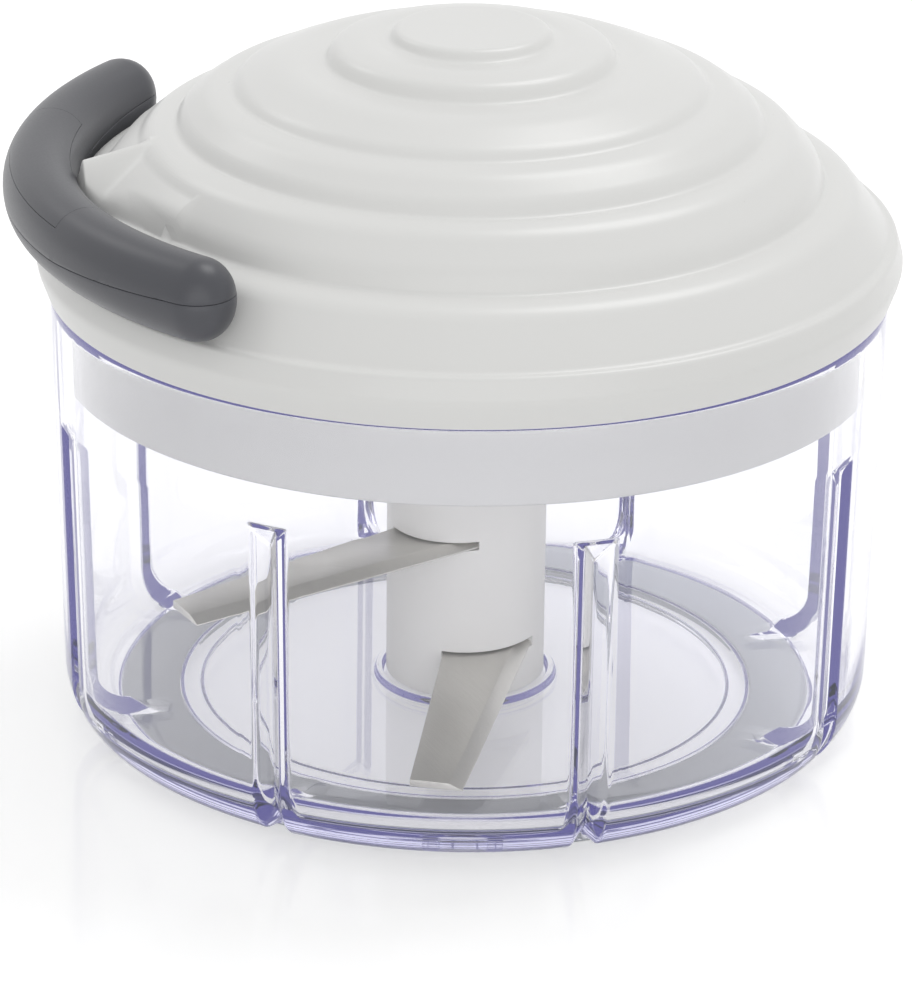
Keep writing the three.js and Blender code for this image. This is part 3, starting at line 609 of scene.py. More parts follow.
def clear_resin():
    """Styrene acrylonitrile, moulded: clear, glossy, and violet blue where light runs along a wall, with a painted
    violet glow where light is trapped in a wall and painted shade on its lowest edge.
    """
    finishes = bpy.context.scene.chopper_finishes
    material, tree = empty_material("moulded_clear_san")
    ripple = surface_noise(tree, 9 * MM, detail=1)
    gloss = ranged(tree, ripple, target=(0, 0.012))
    clear = {"IOR": 1.57, "Transmission Weight": 1.0}
    glass = coat(tree, shaded(finishes.clear), gloss, (ripple, 0.25, 0.01 * MM), clear)

    # Lamps reach what is inside the bowl through this stand-in, without caustics. A wall seen on edge bends
    # light away, so it throws a shadow.
    edge_on = add_node(tree, "ShaderNodeLayerWeight", {"Blend": 0.5})
    bent = maths(tree, "POWER", edge_on.outputs["Facing"], 6)
    # So does the foot rim, which is thick and bends light to and fro
    x, y, z = add_node(tree, "ShaderNodeSeparateXYZ", {"Vector": object_place(tree)}).outputs
    level = add_node(tree, "ShaderNodeCombineXYZ", {"X": x, "Y": y}).outputs["Vector"]
    reach = add_node(tree, "ShaderNodeVectorMath", {0: level, 1: tuple(AXIS)}, operation="DISTANCE")
    out = ranged(tree, reach.outputs["Value"], source=(53 * MM, 56 * MM))
    foot = maths(tree, "MULTIPLY", out, ranged(tree, z, source=(5 * MM, 2.5 * MM)))
    dark = maths(tree, "MAXIMUM", bent, foot)
    shade = blended(tree, dark, shaded(finishes.clear, 0.99), shaded(finishes.clear, 0.12))
    through = add_node(tree, "ShaderNodeBsdfTransparent", {"Color": shade}).outputs["BSDF"]
    path = add_node(tree, "ShaderNodeLightPath").outputs
    wall = either(tree, path["Is Shadow Ray"], glass, through)

    # Painted glow: light that goes to and fro in a wall would come out at last, violet, but the tracing stops
    # before that, so the resin glows violet there instead
    # Painted shade: within a few millimetres of the table that glow turns dark grey, for the shadow line under the
    # bowl's foot
    edge = ranged(tree, z, source=(3.4 * MM, 2 * MM))
    painted_glow_and_shade_colour = blended(tree, edge, shaded(finishes.painted_glow_colour), shaded(finishes.foot))
    painted_glow_shader = add_node(tree, "ShaderNodeEmission", {"Color": painted_glow_and_shade_colour, "Strength": 1.0}).outputs["Emission"]
    long_way = maths(tree, "GREATER_THAN", path["Glossy Depth"], 4.5)
    inputs = {"Color": shaded(finishes.depth_tint), "Density": finishes.depth_density}
    depth = add_node(tree, "ShaderNodeVolumeAbsorption", inputs).outputs["Volume"]
    output = show(tree, either(tree, long_way, wall, painted_glow_shader))
    tree.links.new(depth, output.inputs["Volume"])
    return material


# The bowl


def quarter(side, top, width, height, steps):
    """Points of a quarter ellipse from its side down to its foot, each with the angle that it faces down."""
    made = []
    for i in range(steps + 1):
        down = math.pi / 2 * i / steps
        made.append((side - width * (1 - math.cos(down)), top - height * math.sin(down), down))
    return made


def flute_rows(start, end, top, ramp):
    """Heights down a straight wall: close together round the top of a flute, and wide apart elsewhere."""
    row, above, past, wide = 0.2 * MM, 0.6 * MM, 1.4 * MM, 8
    close = [top + above - row * i for i in range(int((ramp + past) / row))]
    below = [close[-1] - (close[-1] - end) * i / wide for i in range(1, wide)]
    return [start, *close, *below]


def soft_floor(value, blend):
    """The value, held at 0 from below with a soft bend."""
    if value <= -blend:
        return 0.0
    if value >= blend:
        return value
    return (value + blend) ** 2 / (4 * blend)


def soft_least(a, b, blend):
    """The lesser of two values with a soft bend between them."""
    return a - soft_floor(a - b, blend)


def soft_most(a, b, blend):
    """The greater of two values with a soft bend between them."""
    return b + soft_floor(a - b, blend)


def floor_line(s):
    """The line from the pin's hole over the post, the collar and the floor to where the floor bends up."""
    hole, hole_depth = 2.6 * MM, 12 * MM
    collar_outer = s.collar + s.collar_wall
    collar_top = s.floor_top + s.collar_height
    flat_end = s.rim_radius - s.taper - s.wall - s.floor_corner_width
    points = [
        (0, s.post_height - hole_depth),
        (hole, s.post_height - hole_depth),
        (hole, s.post_height),
        (s.post_top, s.post_height),
        (s.post_foot, s.floor_top),
        (s.collar, s.floor_top),
        (s.collar, collar_top),
        (collar_outer, collar_top),
        (collar_outer, s.floor_top),
        # Two more points keep the floor's edge flat to the eye
        (flat_end - 8 * MM, s.floor_top),
        (flat_end - 2.5 * MM, s.floor_top),
    ]
    return rounded(points, 0.35 * MM)


def rim_line(s):
    """The line over the bowl's rim."""
    low = s.rim_height - 1.9 * s.rim_round
    inner, outer = s.rim_radius - s.wall, s.rim_radius
    points = [(inner, low), (inner, s.rim_height), (outer, s.rim_height), (outer, low)]
    return rounded(points, s.rim_round, steps=6)


def underside_line(s):
    """The line from the foot rim over the grey ring's recess and the bead to the hollow under the post."""
    hollow, hollow_depth = 3.6 * MM, 6.4 * MM
    ring_outer, bead_outer = s.ring_outer + s.ring_gap, s.ring_inner - s.ring_gap
    points = [
        (ring_outer + 1.2 * MM, s.foot_height),
        (ring_outer, s.foot_height),
        (ring_outer, s.floor_under),
        (bead_outer, s.floor_under),
        (bead_outer, s.foot_height),
        (bead_outer - s.bead, s.foot_height),
        (bead_outer - s.bead, s.floor_under),
        (hollow, s.floor_under),
        (hollow, s.floor_under + hollow_depth),
        (0, s.floor_under + hollow_depth),
    ]
    return rounded(points, 0.3 * MM)


def bowl_rows(s):
    """Rows of the bowl's profile: radius, height, a flute's push in and up there, and half the flute's width."""
    corner_top = s.foot_height + s.corner_height
    inner_corner_top = s.floor_top + s.floor_corner_height
    base = s.rim_radius - s.taper
    below_rim = s.rim_height - 2 * s.rim_round
    rows = []

    def wall_at(height):
        return s.rim_radius - s.taper * (s.rim_height - height) / (s.rim_height - corner_top)

    def add(points, depth=0.0, down=0.0, half=1.0):
        rows.extend((r, z, -depth * math.cos(down), depth * math.sin(down), half) for r, z in points)

    add(floor_line(s))
    corner = quarter(base - s.wall, inner_corner_top, s.floor_corner_width, s.floor_corner_height, 12)
    for r, z, down in reversed(corner):
        add([(r, z)], s.rib_height, down, s.rib_width / 2)
    heights = flute_rows(below_rim, inner_corner_top, s.flute_top, s.flute_ramp)
    add([(wall_at(z) - s.wall, z) for z in reversed(heights)], s.rib_height, 0.0, s.rib_width / 2)
    add(rim_line(s))
    heights = flute_rows(below_rim, corner_top, s.flute_top, s.flute_ramp)
    add([(wall_at(z), z) for z in heights], s.flute_depth, 0.0, s.flute_width / 2)
    for r, z, down in quarter(base, corner_top, s.corner_width, s.corner_height, 14):
        add([(r, z)], s.flute_depth, down, s.flute_width / 2)
    add(underside_line(s))
    return rows


class CHOPPER_OT_bowl(Operator):
    """Builds the clear bowl with its flutes, floor, pivot post and collar"""

    bl_idname = "chopper.bowl"
    bl_label = "Bowl"

    def execute(self, context):
        s = context.scene.chopper_bowl
        rows = bowl_rows(s)
        bm = profile_mesh([row[:2] for row in rows])
        layers = [bm.verts.layers.float.new(name) for name in ("push_in", "push_up", "half_width")]
        for vert, row in zip(bm.verts, rows):
            for layer, value in zip(layers, row[2:]):
                vert[layer] = value

        # One flute's share of the turn: close columns across the flute, then wide ones
        share = FULL_TURN / s.flute_count
        fine, fine_columns, wide_columns = math.radians(8.5), 34, 18
        rotate(bm, s.flute_angle - fine / 2 - math.pi / 2)
        last = spin(bm, bm.verts[:] + bm.edges[:], fine, fine_columns)
        spin(bm, last, share - fine, wide_columns)
        clean(bm)
        spin(bm, bm.verts[:] + bm.edges[:] + bm.faces[:], FULL_TURN - share, s.flute_count - 1, duplicate=True)
        clean(bm)

        # A groove has a blunt bottom, and it bends softly where it runs out, at its lips and at its top
        blunt, lip_bend, top_bend = 0.16 * MM, 0.06, 0.05
        for vert in bm.verts:
            push_in, push_up, half = (vert[layer] for layer in layers)
            if push_in == push_up == 0:
                continue
            radius = math.hypot(vert.co.x, vert.co.y)
            turn = math.atan2(vert.co.y, vert.co.x) + math.pi / 2 - s.flute_angle
            off = (turn + share / 2) % share - share / 2
            groove = soft_floor(1 - math.hypot(radius * off, blunt) / half, lip_bend)
            ramp = (s.flute_top - vert.co.z) / s.flute_ramp
            groove = max(soft_least(groove, ramp, top_bend), 0)
            vert.co += Vector((vert.co.x, vert.co.y, 0)).normalized() * (push_in * groove)
            vert.co.z += push_up * groove
        bmesh.ops.recalc_face_normals(bm, faces=bm.faces)
        piece(bm, "clear_bowl", "bowl", clear_resin(), ("bowl",), sharp=60)
        return {"FINISHED"}


class CHOPPER_OT_foot_ring(Operator):
    """Builds the grey ring under the bowl's floor"""

    bl_idname = "chopper.foot_ring"
    bl_label = "Foot ring"

    def execute(self, context):
        s = context.scene.chopper_bowl
        top = s.floor_under - s.ring_gap
        middle = (s.ring_inner + s.ring_outer) / 2
        # A shallow groove runs round its underside, as on moulded feet
        lip, foot, depth = 1.2 * MM, 0.8 * MM, 0.35 * MM
        line = [
            (s.ring_inner, 0),
            (middle - lip, 0),
            (middle - foot, depth),
            (middle + foot, depth),
            (middle + lip, 0),
            (s.ring_outer, 0),
            (s.ring_outer, top),
            (s.ring_inner, top),
            (s.ring_inner, 0),
        ]
        bm = lathe(rounded(line, 0.5 * MM), 160)
        piece(bm, "grey_foot_ring", "bowl", moulded("moulded_grey_tpe"), ("foot_ring",))
        return {"FINISHED"}


# The blade unit


def outward(turn):
    """The way that a blade points, for its turn from -Y."""
    return Vector((math.sin(turn), -math.cos(turn), 0))


def blade_planes(s, top, turn):
    """The four planes round a blade's slot, as a point and a normal that faces out of the slot."""
    gap = s.slot_gap
    across = Vector((math.cos(turn), math.sin(turn), 0))
    out = outward(turn)
    over = (UP * math.cos(s.slope) + out * math.sin(s.slope)).normalized()
    side = out * s.hub_radius + UP * top
    return [
        (side + over * gap, over),
        (side - over * (s.thickness + gap), -over),
        (across * -(s.trail + gap), -across),
        (across * (s.root_lead + gap), across),
    ]


class CHOPPER_OT_hub(Operator):
    """Builds the white column with its drive socket and the slots for the blades"""

    bl_idname = "chopper.hub"
    bl_label = "Blade hub"

    def execute(self, context):
        s = context.scene.chopper_blades
        # The face round the socket is filled in, from this radius inwards
        wide = 8 * MM
        line = [
            (0, s.bore_top),
            (s.bush_bore, s.bore_top),
            (s.bush_bore, s.bush_bottom),
            (s.bore, s.bush_bottom),
            (s.bore, s.hub_bottom),
            (s.hub_radius, s.hub_bottom),
            (s.hub_radius, s.hub_top),
            (wide, s.hub_top),
        ]
        bm = turned(rounded(line, 0.5 * MM), 96)
        rim = [e for e in bm.edges if e.is_boundary and e.verts[0].co.z > s.hub_top - 0.01 * MM]
        socket = circle_edges(bm, s.socket, s.hub_top, 6)
        fill(bm, rim + socket, UP)
        sink(bm, socket, s.socket_bottom - s.hub_top)
        clean(bm)

        skin = s.hub_radius - 0.6 * MM
        share = s.slot_radius / s.hub_radius
        for top, turn in ((s.lower_top, s.lower_angle), (s.upper_top, s.upper_angle)):
            planes = blade_planes(s, top, turn)

            def within(bounds):
                # The faces of the column's side towards the blade that lie inside these planes
                made = []
                for face in bm.faces:
                    middle = face.calc_center_median()
                    if middle.to_2d().length > skin and middle.dot(outward(turn)) > 0 and behind(middle, bounds):
                        made.append(face)
                return made

            for i, (point, normal) in enumerate(planes):
                cut(bm, within(planes[:i]), point, normal)
            bmesh.ops.scale(bm, vec=(share, share, 1), verts=push(bm, within(planes)))
        clean(bm)
        plastic = moulded("moulded_white_pom")
        piece(bm, "white_blade_hub", "blade_unit", plastic, ("blade_hub",), sharp=30)
        return {"FINISHED"}


class CHOPPER_OT_blades(Operator):
    """Builds the two ground steel blades"""

    bl_idname = "chopper.blades"
    bl_label = "Blades"

    def execute(self, context):
        s = context.scene.chopper_blades
        # Each end of a blade: the reach of its back edge and of its ground edge, and how far ahead that one is.
        # The root ends inside the hub.
        root_back, root_lead = 8.9 * MM, 4.9 * MM
        ends = ((root_back, root_lead, s.root_lead), (s.tip_reach - s.tip_skew, s.tip_reach, s.tip_lead))
        for name, top, turn in (("lower", s.lower_top, s.lower_angle), ("upper", s.upper_top, s.upper_angle)):
            bm = bmesh.new()
            loops = []
            for back_reach, lead_reach, lead in ends:
                section = (
                    (-s.trail, back_reach, 0),
                    (-s.trail, back_reach, s.thickness),
                    (lead, lead_reach, s.thickness),
                    (lead, lead_reach, s.thickness - s.edge),
                    (lead - s.grind, lead_reach, 0),
                )
                verts = [
                    bm.verts.new((x, -reach, top + (s.hub_radius - reach) * math.tan(s.slope) - depth))
                    for x, reach, depth in section
                ]
                loops.append(bm.faces.new(verts))
            bmesh.ops.bridge_loops(bm, edges=[e for face in loops for e in face.edges])
            clean(bm)
            soften(bm, bm.edges[:], 0.11 * MM)
            rotate(bm, turn)
            clean(bm)
            steel = blade_steel("ground_stainless_" + name, -turn)
            piece(bm, name + "_ground_blade", "blade_unit", steel, (name + "_blade",), sharp=25)
        return {"FINISHED"}


# The lid


def dome_line(s, rim):
    """The dome's outer line from its foot up to the axis: soft edges and tight valleys."""
    # How far the strip at a riser's foot falls outwards, as a slope
    strip_fall = 0.12
    points = [(s.foot, s.foot_height), (s.radius - s.lip_inset, s.widest - s.lip_drop), (s.radius, s.widest)]
    radii = [0, s.valley_round, s.lip_drop]
    outward_in = TERRACES[::-1]
    for i, (edge, edge_height, valley, valley_height, _) in enumerate(outward_in):
        foot = rim + valley_height * s.dome_rise
        points += [(valley * s.radius + s.strip, foot - s.strip * strip_fall), (valley * s.radius, foot)]
        radii += [s.strip, s.valley_round]
        points.append((edge * s.radius, rim + edge_height * s.dome_rise))
        radii.append(s.edge_round)
        if i + 1 < len(outward_in):
            inner = outward_in[i + 1]
            # A tread is one full round from the foot of its inner riser to its outer edge
            middle = (edge + inner[2]) / 2
            points.append((middle * s.radius, rim + (inner[3] - inner[4]) * s.dome_rise))
            radii.append(s.radius)
    return rounded([*points, (0, rim + s.dome_rise)], [*radii, 0], steps=6)


def height_at(line, radius):
    """The height of a line at a radius, for a line whose radius falls as it rises."""
    for (r0, z0), (r1, z1) in zip(line, line[1:]):
        if r1 <= radius <= r0 and r0 > r1:
            return z1 + (z0 - z1) * (radius - r1) / (r0 - r1)
    return line[-1][1]


def nose_inset(s, back, y):
    """How far inside the nose's outline a place is. The corners of the tip are rounded."""
    corner = 0.45 * MM
    flare = (s.nose_root - s.nose_tip) / s.nose_flare
    aside = (s.nose_tip + flare * back - abs(y)) / math.hypot(1, flare)
    short_back, short_aside = max(corner - back, 0), max(corner - aside, 0)
    if short_back and short_aside:
        return corner - math.hypot(short_back, short_aside)
    return min(back, aside)


def nose_rise(s, line, x, y):
    """The height of the lid at a place on its nose side."""
    radius = math.hypot(x, y)
    dome = height_at(line, radius)
    back = s.nose_reach + x
    inset = nose_inset(s, back, y)
    if inset <= 0:
        return dome
    # A level step runs out from the last but one tread and falls away, and a crest with steep sides lies on it
    fall, ridge, bend = 0.7, 0.7 * MM, 1.6 * MM
    edge = TERRACES[4][0] * s.radius - s.edge_round
    step = dome if radius < edge else height_at(line, edge) - (radius - edge) * fall
    crest = s.nose_top + (s.nose_crest_root - s.nose_top) * back / s.nose_crest
    past = max(back - s.nose_crest, 0)
    tent = crest - s.nose_steepness * (math.hypot(y, ridge) - ridge + past)
    top = max(soft_most(tent, step, bend), dome)
    # The shoulder is narrow at the tip and has its full width from here on
    full_width, least, power = 6 * MM, 0.1, 2.6
    shoulder = s.nose_round * (least + (1 - least) * min(back / full_width, 1))
    rise = 1 - (1 - min(inset / shoulder, 1)) ** power
    return max(dome, dome + (top - dome) * rise)


class CHOPPER_OT_dome(Operator):
    """Builds the lid's terraced dome with its nose"""

    bl_idname = "chopper.dome"
    bl_label = "Lid dome"

    def execute(self, context):
        s = context.scene.chopper_lid
        rim = context.scene.chopper_bowl.rim_height
        line = dome_line(s, rim)
        valleys = [(row[2] * (s.radius - s.wall), rim + row[3] * s.dome_rise - s.wall) for row in TERRACES]
        lining = [
            (0, valleys[0][1]),
            *valleys,
            (s.radius - s.wall, s.widest),
            (s.cover_radius + 0.3 * MM, s.foot_height),
        ]
        bm = turned([*lining, *line], 192)

        # The part of the dome that the nose grows from: room beside it, past its tip and under the surface
        beside, past, under = 3 * MM, 1.5 * MM, 0.8 * MM

        def in_zone(co, margin=0):
            radius = math.hypot(co.x, co.y)
            return (
                co.x < 0
                and abs(co.y) < s.nose_root + beside + margin
                and s.nose_reach - s.nose_length < radius < s.nose_reach + past + margin
                and co.z > height_at(line, radius) - under
            )

        # The nose is set up over a band more than the zone, and smoothed over a band less, where it is raised
        band, raised = 1 * MM, 0.02 * MM
        zone = [f for f in bm.faces if in_zone(f.calc_center_median())]
        edges = list({e for f in zone for e in f.edges})
        bmesh.ops.subdivide_edges(bm, edges=edges, cuts=5, use_grid_fill=True)
        for vert in bm.verts:
            if in_zone(vert.co, band):
                vert.co.z = nose_rise(s, line, vert.co.x, vert.co.y)
        smooth = [
            v for v in bm.verts if in_zone(v.co, -band) and v.co.z > height_at(line, v.co.xy.length) + raised
        ]
        for _ in range(3):
            bmesh.ops.smooth_vert(bm, verts=smooth, factor=0.5, use_axis_x=True, use_axis_y=True, use_axis_z=True)
        bmesh.ops.recalc_face_normals(bm, faces=bm.faces)
        plastic = moulded("moulded_white_abs")
        piece(bm, "white_lid_dome", "lid", plastic, ("lid_dome",), sharp=55)
        return {"FINISHED"}


class CHOPPER_OT_eyelet(Operator):
    """Builds the ring that guides the cord out of the nose"""

    bl_idname = "chopper.eyelet"
    bl_label = "Cord eyelet"

    def execute(self, context):
        s = context.scene.chopper_lid
        # The line stops short of its start, so that the lathe closes it without a doubled corner
        short, proud = 0.05 * MM, 0.04 * MM
        line = [
            (s.eyelet_bore, 0),
            (s.eyelet, 0),
            (s.eyelet, s.eyelet_length),
            (s.eyelet_bore, s.eyelet_length),
            (s.eyelet_bore, short),
        ]
        bm = lathe(rounded(line, 0.4 * MM), 48)
        rotate(bm, math.pi / 2, "Y")
        bmesh.ops.translate(bm, verts=bm.verts, vec=(-s.nose_reach - proud, 0, s.cord_height))
        piece(bm, "white_cord_eyelet", "lid", moulded("moulded_white_pom"), ("cord_eyelet",))
        return {"FINISHED"}


class CHOPPER_OT_cover(Operator):
    """Builds the white cover under the dome, with the seats of its screws"""

    bl_idname = "chopper.cover"
    bl_label = "Lid cover"

    def execute(self, context):
        s = context.scene.chopper_lid
        turret_foot = s.cover_bottom + s.cover_thickness
        inner = s.cover_radius - s.cover_wall
        line = [
            (s.cover_radius - 1.2 * MM, s.cover_bottom),
            (s.cover_radius, s.cover_bottom),
            (s.cover_radius, s.cover_top),
            (inner, s.cover_top),
            (inner, turret_foot),
            (s.turret, turret_foot),
            (s.turret, s.turret_top),
            (s.turret_bore, s.turret_top),
            (s.turret_bore, s.cover_bottom),
        ]
        bm = turned(rounded(line, 0.5 * MM), 160)
        rims = [e for e in bm.edges if e.is_boundary]
        places = [polar(s.screw_circle, FULL_TURN * i / 3) for i in range(3)]
        seats = [circle_edges(bm, s.screw_head + 0.3 * MM, s.cover_bottom, 32, place) for place in places]
        fill(bm, rims + [e for seat in seats for e in seat], -UP)
        for seat in seats:
            sink(bm, seat, 1.2 * MM)
        clean(bm)
        plastic = moulded("moulded_white_abs")
        piece(bm, "white_lid_cover", "lid", plastic, ("lid_cover",), sharp=30)
        return {"FINISHED"}


class CHOPPER_OT_screws(Operator):
    """Builds the three screws that hold the cover, with a cross in each head"""

    bl_idname = "chopper.screws"
    bl_label = "Cover screws"

    def execute(self, context):
        s = context.scene.chopper_lid
        shank, head_height, point_length = 1.25 * MM, 1 * MM, 1 * MM
        half, reach, depth = 0.35 * MM, 1.5 * MM, 0.7 * MM
        for i in range(3):
            low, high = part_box(f"cover_screw_{i + 1}")
            line = [
                (0, low.z),
                (s.screw_head, low.z),
                (s.screw_head, low.z + head_height),
                (shank, low.z + head_height),
                (shank, high.z - point_length),
                (0, high.z),
            ]
            bm = lathe(rounded(line, 0.35 * MM), 48)

            def on_head(co):
                return co.z < low.z + 0.05 * MM

            # The cross: two narrow bands are cut into the head and pressed in
            for x, y in ((1, 0), (0, 1)):
                for side in (-1, 1):
                    for off in (half, reach):
                        head = [f for f in bm.faces if on_head(f.calc_center_median())]
                        cut(bm, head, (side * off * x, side * off * y, 0), (x, y, 0))

            def in_cross(co):
                across, along = sorted((abs(co.x), abs(co.y)))
                return on_head(co) and across < half and along < reach

            cross = [f for f in bm.faces if in_cross(f.calc_center_median())]
            bmesh.ops.translate(bm, verts=push(bm, cross), vec=(0, 0, depth))
            clean(bm)
            bmesh.ops.translate(bm, verts=bm.verts, vec=polar(s.screw_circle, FULL_TURN * i / 3))
            piece(bm, f"cross_screw_{i + 1}", "lid", plain_steel(), (f"cover_screw_{i + 1}",), sharp=30)
        return {"FINISHED"}


# The grip


def grip_section(s):
    """The grip's section, as a closed loop of points about its middle: a soft, slightly square round."""
    count, power = 48, 2 / 2.1
    made = []
    for i in range(count):
        turn = FULL_TURN * i / count
        c, h = math.cos(turn), math.sin(turn)
        x = s.width / 2 * math.copysign(abs(c) ** power, c)
        z = s.depth / 2 * math.copysign(abs(h) ** power, h)
        made.append((x, z))
    return made


def grip_bar(s, centre):
    """The whole grip as one closed bar with round ends, bent round a centre."""
    bm = bmesh.new()
    verts = [bm.verts.new((centre.x - s.bend - x, 0, s.height + z)) for x, z in grip_section(s)]
    for a, b in zip(verts, [*verts[1:], verts[0]]):
        bm.edges.new((a, b))
    rotate(bm, -s.half_angle, centre=centre)
    first = bm.verts[:] + bm.edges[:]
    last = spin(bm, first, 2 * s.half_angle, 84, centre=centre)
    for geom, side in ((first, -1), (last, 1)):
        # The outer half of an end section turns about the section's middle
        loop = verts_of(geom)
        middle = sum((v.co for v in loop), Vector()) / len(loop)
        reach = (middle - centre).xy.length - 0.001 * MM
        outer = {v for v in loop if (v.co - centre).xy.length > reach}
        edges = [e for e in edges_of(geom) if all(v in outer for v in e.verts)]
        spin(bm, [*outer, *edges], side * math.pi, 22, centre=(middle.x, middle.y, 0))
    clean(bm, 0.01 * MM)
    rotate(bm, s.turn, centre=centre)
    return bm


class CHOPPER_OT_grip(Operator):
    """Builds the grip's upper shell, lower shell and centre cover"""

    bl_idname = "chopper.grip"
    bl_label = "Grip"

    def execute(self, context):
        s = context.scene.chopper_handle
        seam = s.height - s.seam_drop
        plastic = moulded("spark_textured_grey_abs")
        centre = Vector((s.bend - s.reach, 0, 0))
        bar = grip_bar(s, centre)

        def seam_lift(co):
            turn = abs(math.atan2(co.y, centre.x - co.x))
            share = min(max((turn - s.cover_angle) / (s.half_angle - s.cover_angle), 0), 1)
            return s.seam_lift * share

        def half_of(side):
            # The seam is level on the lowered bar, and rises towards its ends once the bar is back in shape
            bm = bar.copy()
            for vert in bm.verts:
                vert.co.z -= seam_lift(vert.co)
            level = seam + side * s.seam / 2
            edges = cut(bm, bm.faces[:], (0, 0, level), (0, 0, -side), outside=True)
            bmesh.ops.contextual_create(bm, geom=edges_of(edges))
            clean(bm)
            soften(bm, [e for e in bm.edges if all(abs(v.co.z - level) < TOUCH for v in e.verts)], 0.1 * MM)
            for vert in bm.verts:
                vert.co.z += seam_lift(vert.co)
            return bm

        def shell(bm, name, node):
            piece(bm, name, "handle", plastic, (node,), sharp=50)

        shell(half_of(-1), "grip_lower_shell", "handle_lower")

        # The centre cover's outline is cut into the upper shell, and the shell is sunk inside it
        upper = half_of(1)
        sine, cosine = math.sin(s.cover_angle), math.cos(s.cover_angle)
        planes = [
            (centre, Vector((sine, cosine, 0))),
            (centre, Vector((sine, -cosine, 0))),
            (UP * (s.height + s.cover_lift), -UP),
        ]

        def seat(bm):
            return [f for f in bm.faces if behind(f.calc_center_median(), planes)]

        for point, normal in planes:
            cut(upper, upper.faces[:], point, normal)
        cover = upper.copy()
        press_in(upper, seat(upper), s.cover_depth)
        clean(upper)
        shell(upper, "grip_upper_shell", "handle_upper")

        planes = [(point - normal * s.seam, normal) for point, normal in planes]
        for point, normal in planes:
            cut(cover, cover.faces[:], point, normal)
        keep = set(seat(cover))
        bmesh.ops.delete(cover, geom=[f for f in cover.faces if f not in keep], context="FACES")
        press_in(cover, cover.faces[:], s.cover_depth - 0.1 * MM, keep=True)
        clean(cover)
        shell(cover, "grip_centre_cover", "handle_centre_cover")
        bar.free()
        return {"FINISHED"}


# The cord


def tube(path, radius, sides=16):
    """A closed tube of even radius along a line of points."""
    bm = bmesh.new()
    before = None
    for i, point in enumerate(path):
        along = (path[min(i + 1, len(path) - 1)] - path[max(i - 1, 0)]).normalized()
        side = UP.cross(along).normalized()
        place = Matrix((side, along.cross(side), along)).transposed().to_4x4()
        place.translation = point
        made = bmesh.ops.create_circle(bm, segments=sides, radius=radius, matrix=place)
        edges = list({e for v in made["verts"] for e in v.link_edges})
        if before:
            bmesh.ops.bridge_loops(bm, edges=before + edges)
        else:
            bmesh.ops.contextual_create(bm, geom=edges)
        before = edges
    bmesh.ops.contextual_create(bm, geom=before)
    clean(bm)
    return bm


class CHOPPER_OT_cord(Operator):
    """Builds the pull cord, its turns on the drum and its knot in the grip"""

    bl_idname = "chopper.cord"
    bl_label = "Cord"

    def execute(self, context):
        s, lid = context.scene.chopper_handle, context.scene.chopper_lid
        cord = braided_cord()
        z = lid.cord_height
        # The last turn on the drum leaves on a tangent towards the eyelet
        inner_end = lid.nose_reach - lid.eyelet_length
        leave_radius = s.winding_radius + 2 * s.cord_radius + 0.3 * MM
        leave = math.acos(leave_radius / inner_end)
        start = Vector((-leave_radius * math.cos(leave), leave_radius * math.sin(leave), z))
        gate = Vector((-inner_end, 0, z))
        path = [start.lerp(gate, i / 8) for i in range(8)]
        tip = -lid.nose_reach
        outside_grip = -(s.reach - s.width / 2) - 0.2 * MM
        end = -(s.knot_reach - s.knot_radius)
        path += [Vector((x, 0, z)) for x in (-inner_end - 0.6 * MM, tip + 0.5 * MM, tip, outside_grip, end)]
        bm = tube(path, s.cord_radius)
        run = piece(bm, "braided_pull_cord", None, cord, ("pull_cord",), sharp=60)
        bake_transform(run)

        # Two turns lie side by side between the drum's flanges
        turns, steps = 2, 80
        rise = 2 * s.cord_radius * turns
        coil = [
            polar(s.winding_radius, FULL_TURN * turns * i / steps, z - rise / 2 + rise * i / steps)
            for i in range(steps + 1)
        ]
        coil = tube(coil, s.cord_radius * 0.98, 12)
        piece(coil, "cord_turns", "drum", cord, ("cord_winding",), sharp=60)

        # A simple knot: the cord goes round twice and through itself
        knot, steps = [], 60
        ring, loop, strand = s.knot_radius * 0.5, s.knot_radius * 0.34, s.cord_radius * 0.72
        for i in range(steps + 1):
            t = FULL_TURN * i / steps
            out = ring + loop * math.cos(3 * t)
            place = (-s.knot_reach + loop * math.sin(3 * t), out * math.cos(2 * t), z + out * math.sin(2 * t))
            knot.append(Vector(place))
        knot = tube(knot, strand, 12)
        piece(knot, "tied_cord_knot", "handle", cord, ("cord_knot",), sharp=60)
        return {"FINISHED"}


class CHOPPER_OT_works(Operator):
    """Gives the kept CAD pieces inside the lid and the hub their finishes"""

    bl_idname = "chopper.works"
    bl_label = "Inner pieces"

    def execute(self, context):
        finishes = {
            moulded("moulded_white_pom"): (
                "hub_bush",
                "cover_bearing",
                "cord_drum",
                "spring_cover",
                "drive_coupler",
            ),
            plain_steel(): ("pivot_pin", "recoil_spring", "thrust_washer"),
        }
        for material, names in finishes.items():
            for name in names:
                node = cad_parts[name]
                node.data.materials.clear()
                node.data.materials.append(material)
        return {"FINISHED"}


# The stage


def area_lamp(name, place, aim, size, power):
    """A soft lamp that faces a point."""
    data = bpy.data.lights.new(name, "AREA")
    data.shape = "DISK"
    data.size = size
    data.energy = power
    lamp = bpy.data.objects.new(name, data)
    lamp.location = place
    lamp.rotation_euler = (aim - place).to_track_quat("-Z", "Y").to_euler()
    bpy.context.scene.collection.objects.link(lamp)


def seen_ray(tree):
    """1 on rays that show a surface to the eye, straight, mirrored or through the resin, and 0 on the rest."""
    path = add_node(tree, "ShaderNodeLightPath").outputs
    straight = maths(tree, "MAXIMUM", path["Is Camera Ray"], path["Is Glossy Ray"])
    return maths(tree, "MAXIMUM", straight, path["Is Transmission Ray"])


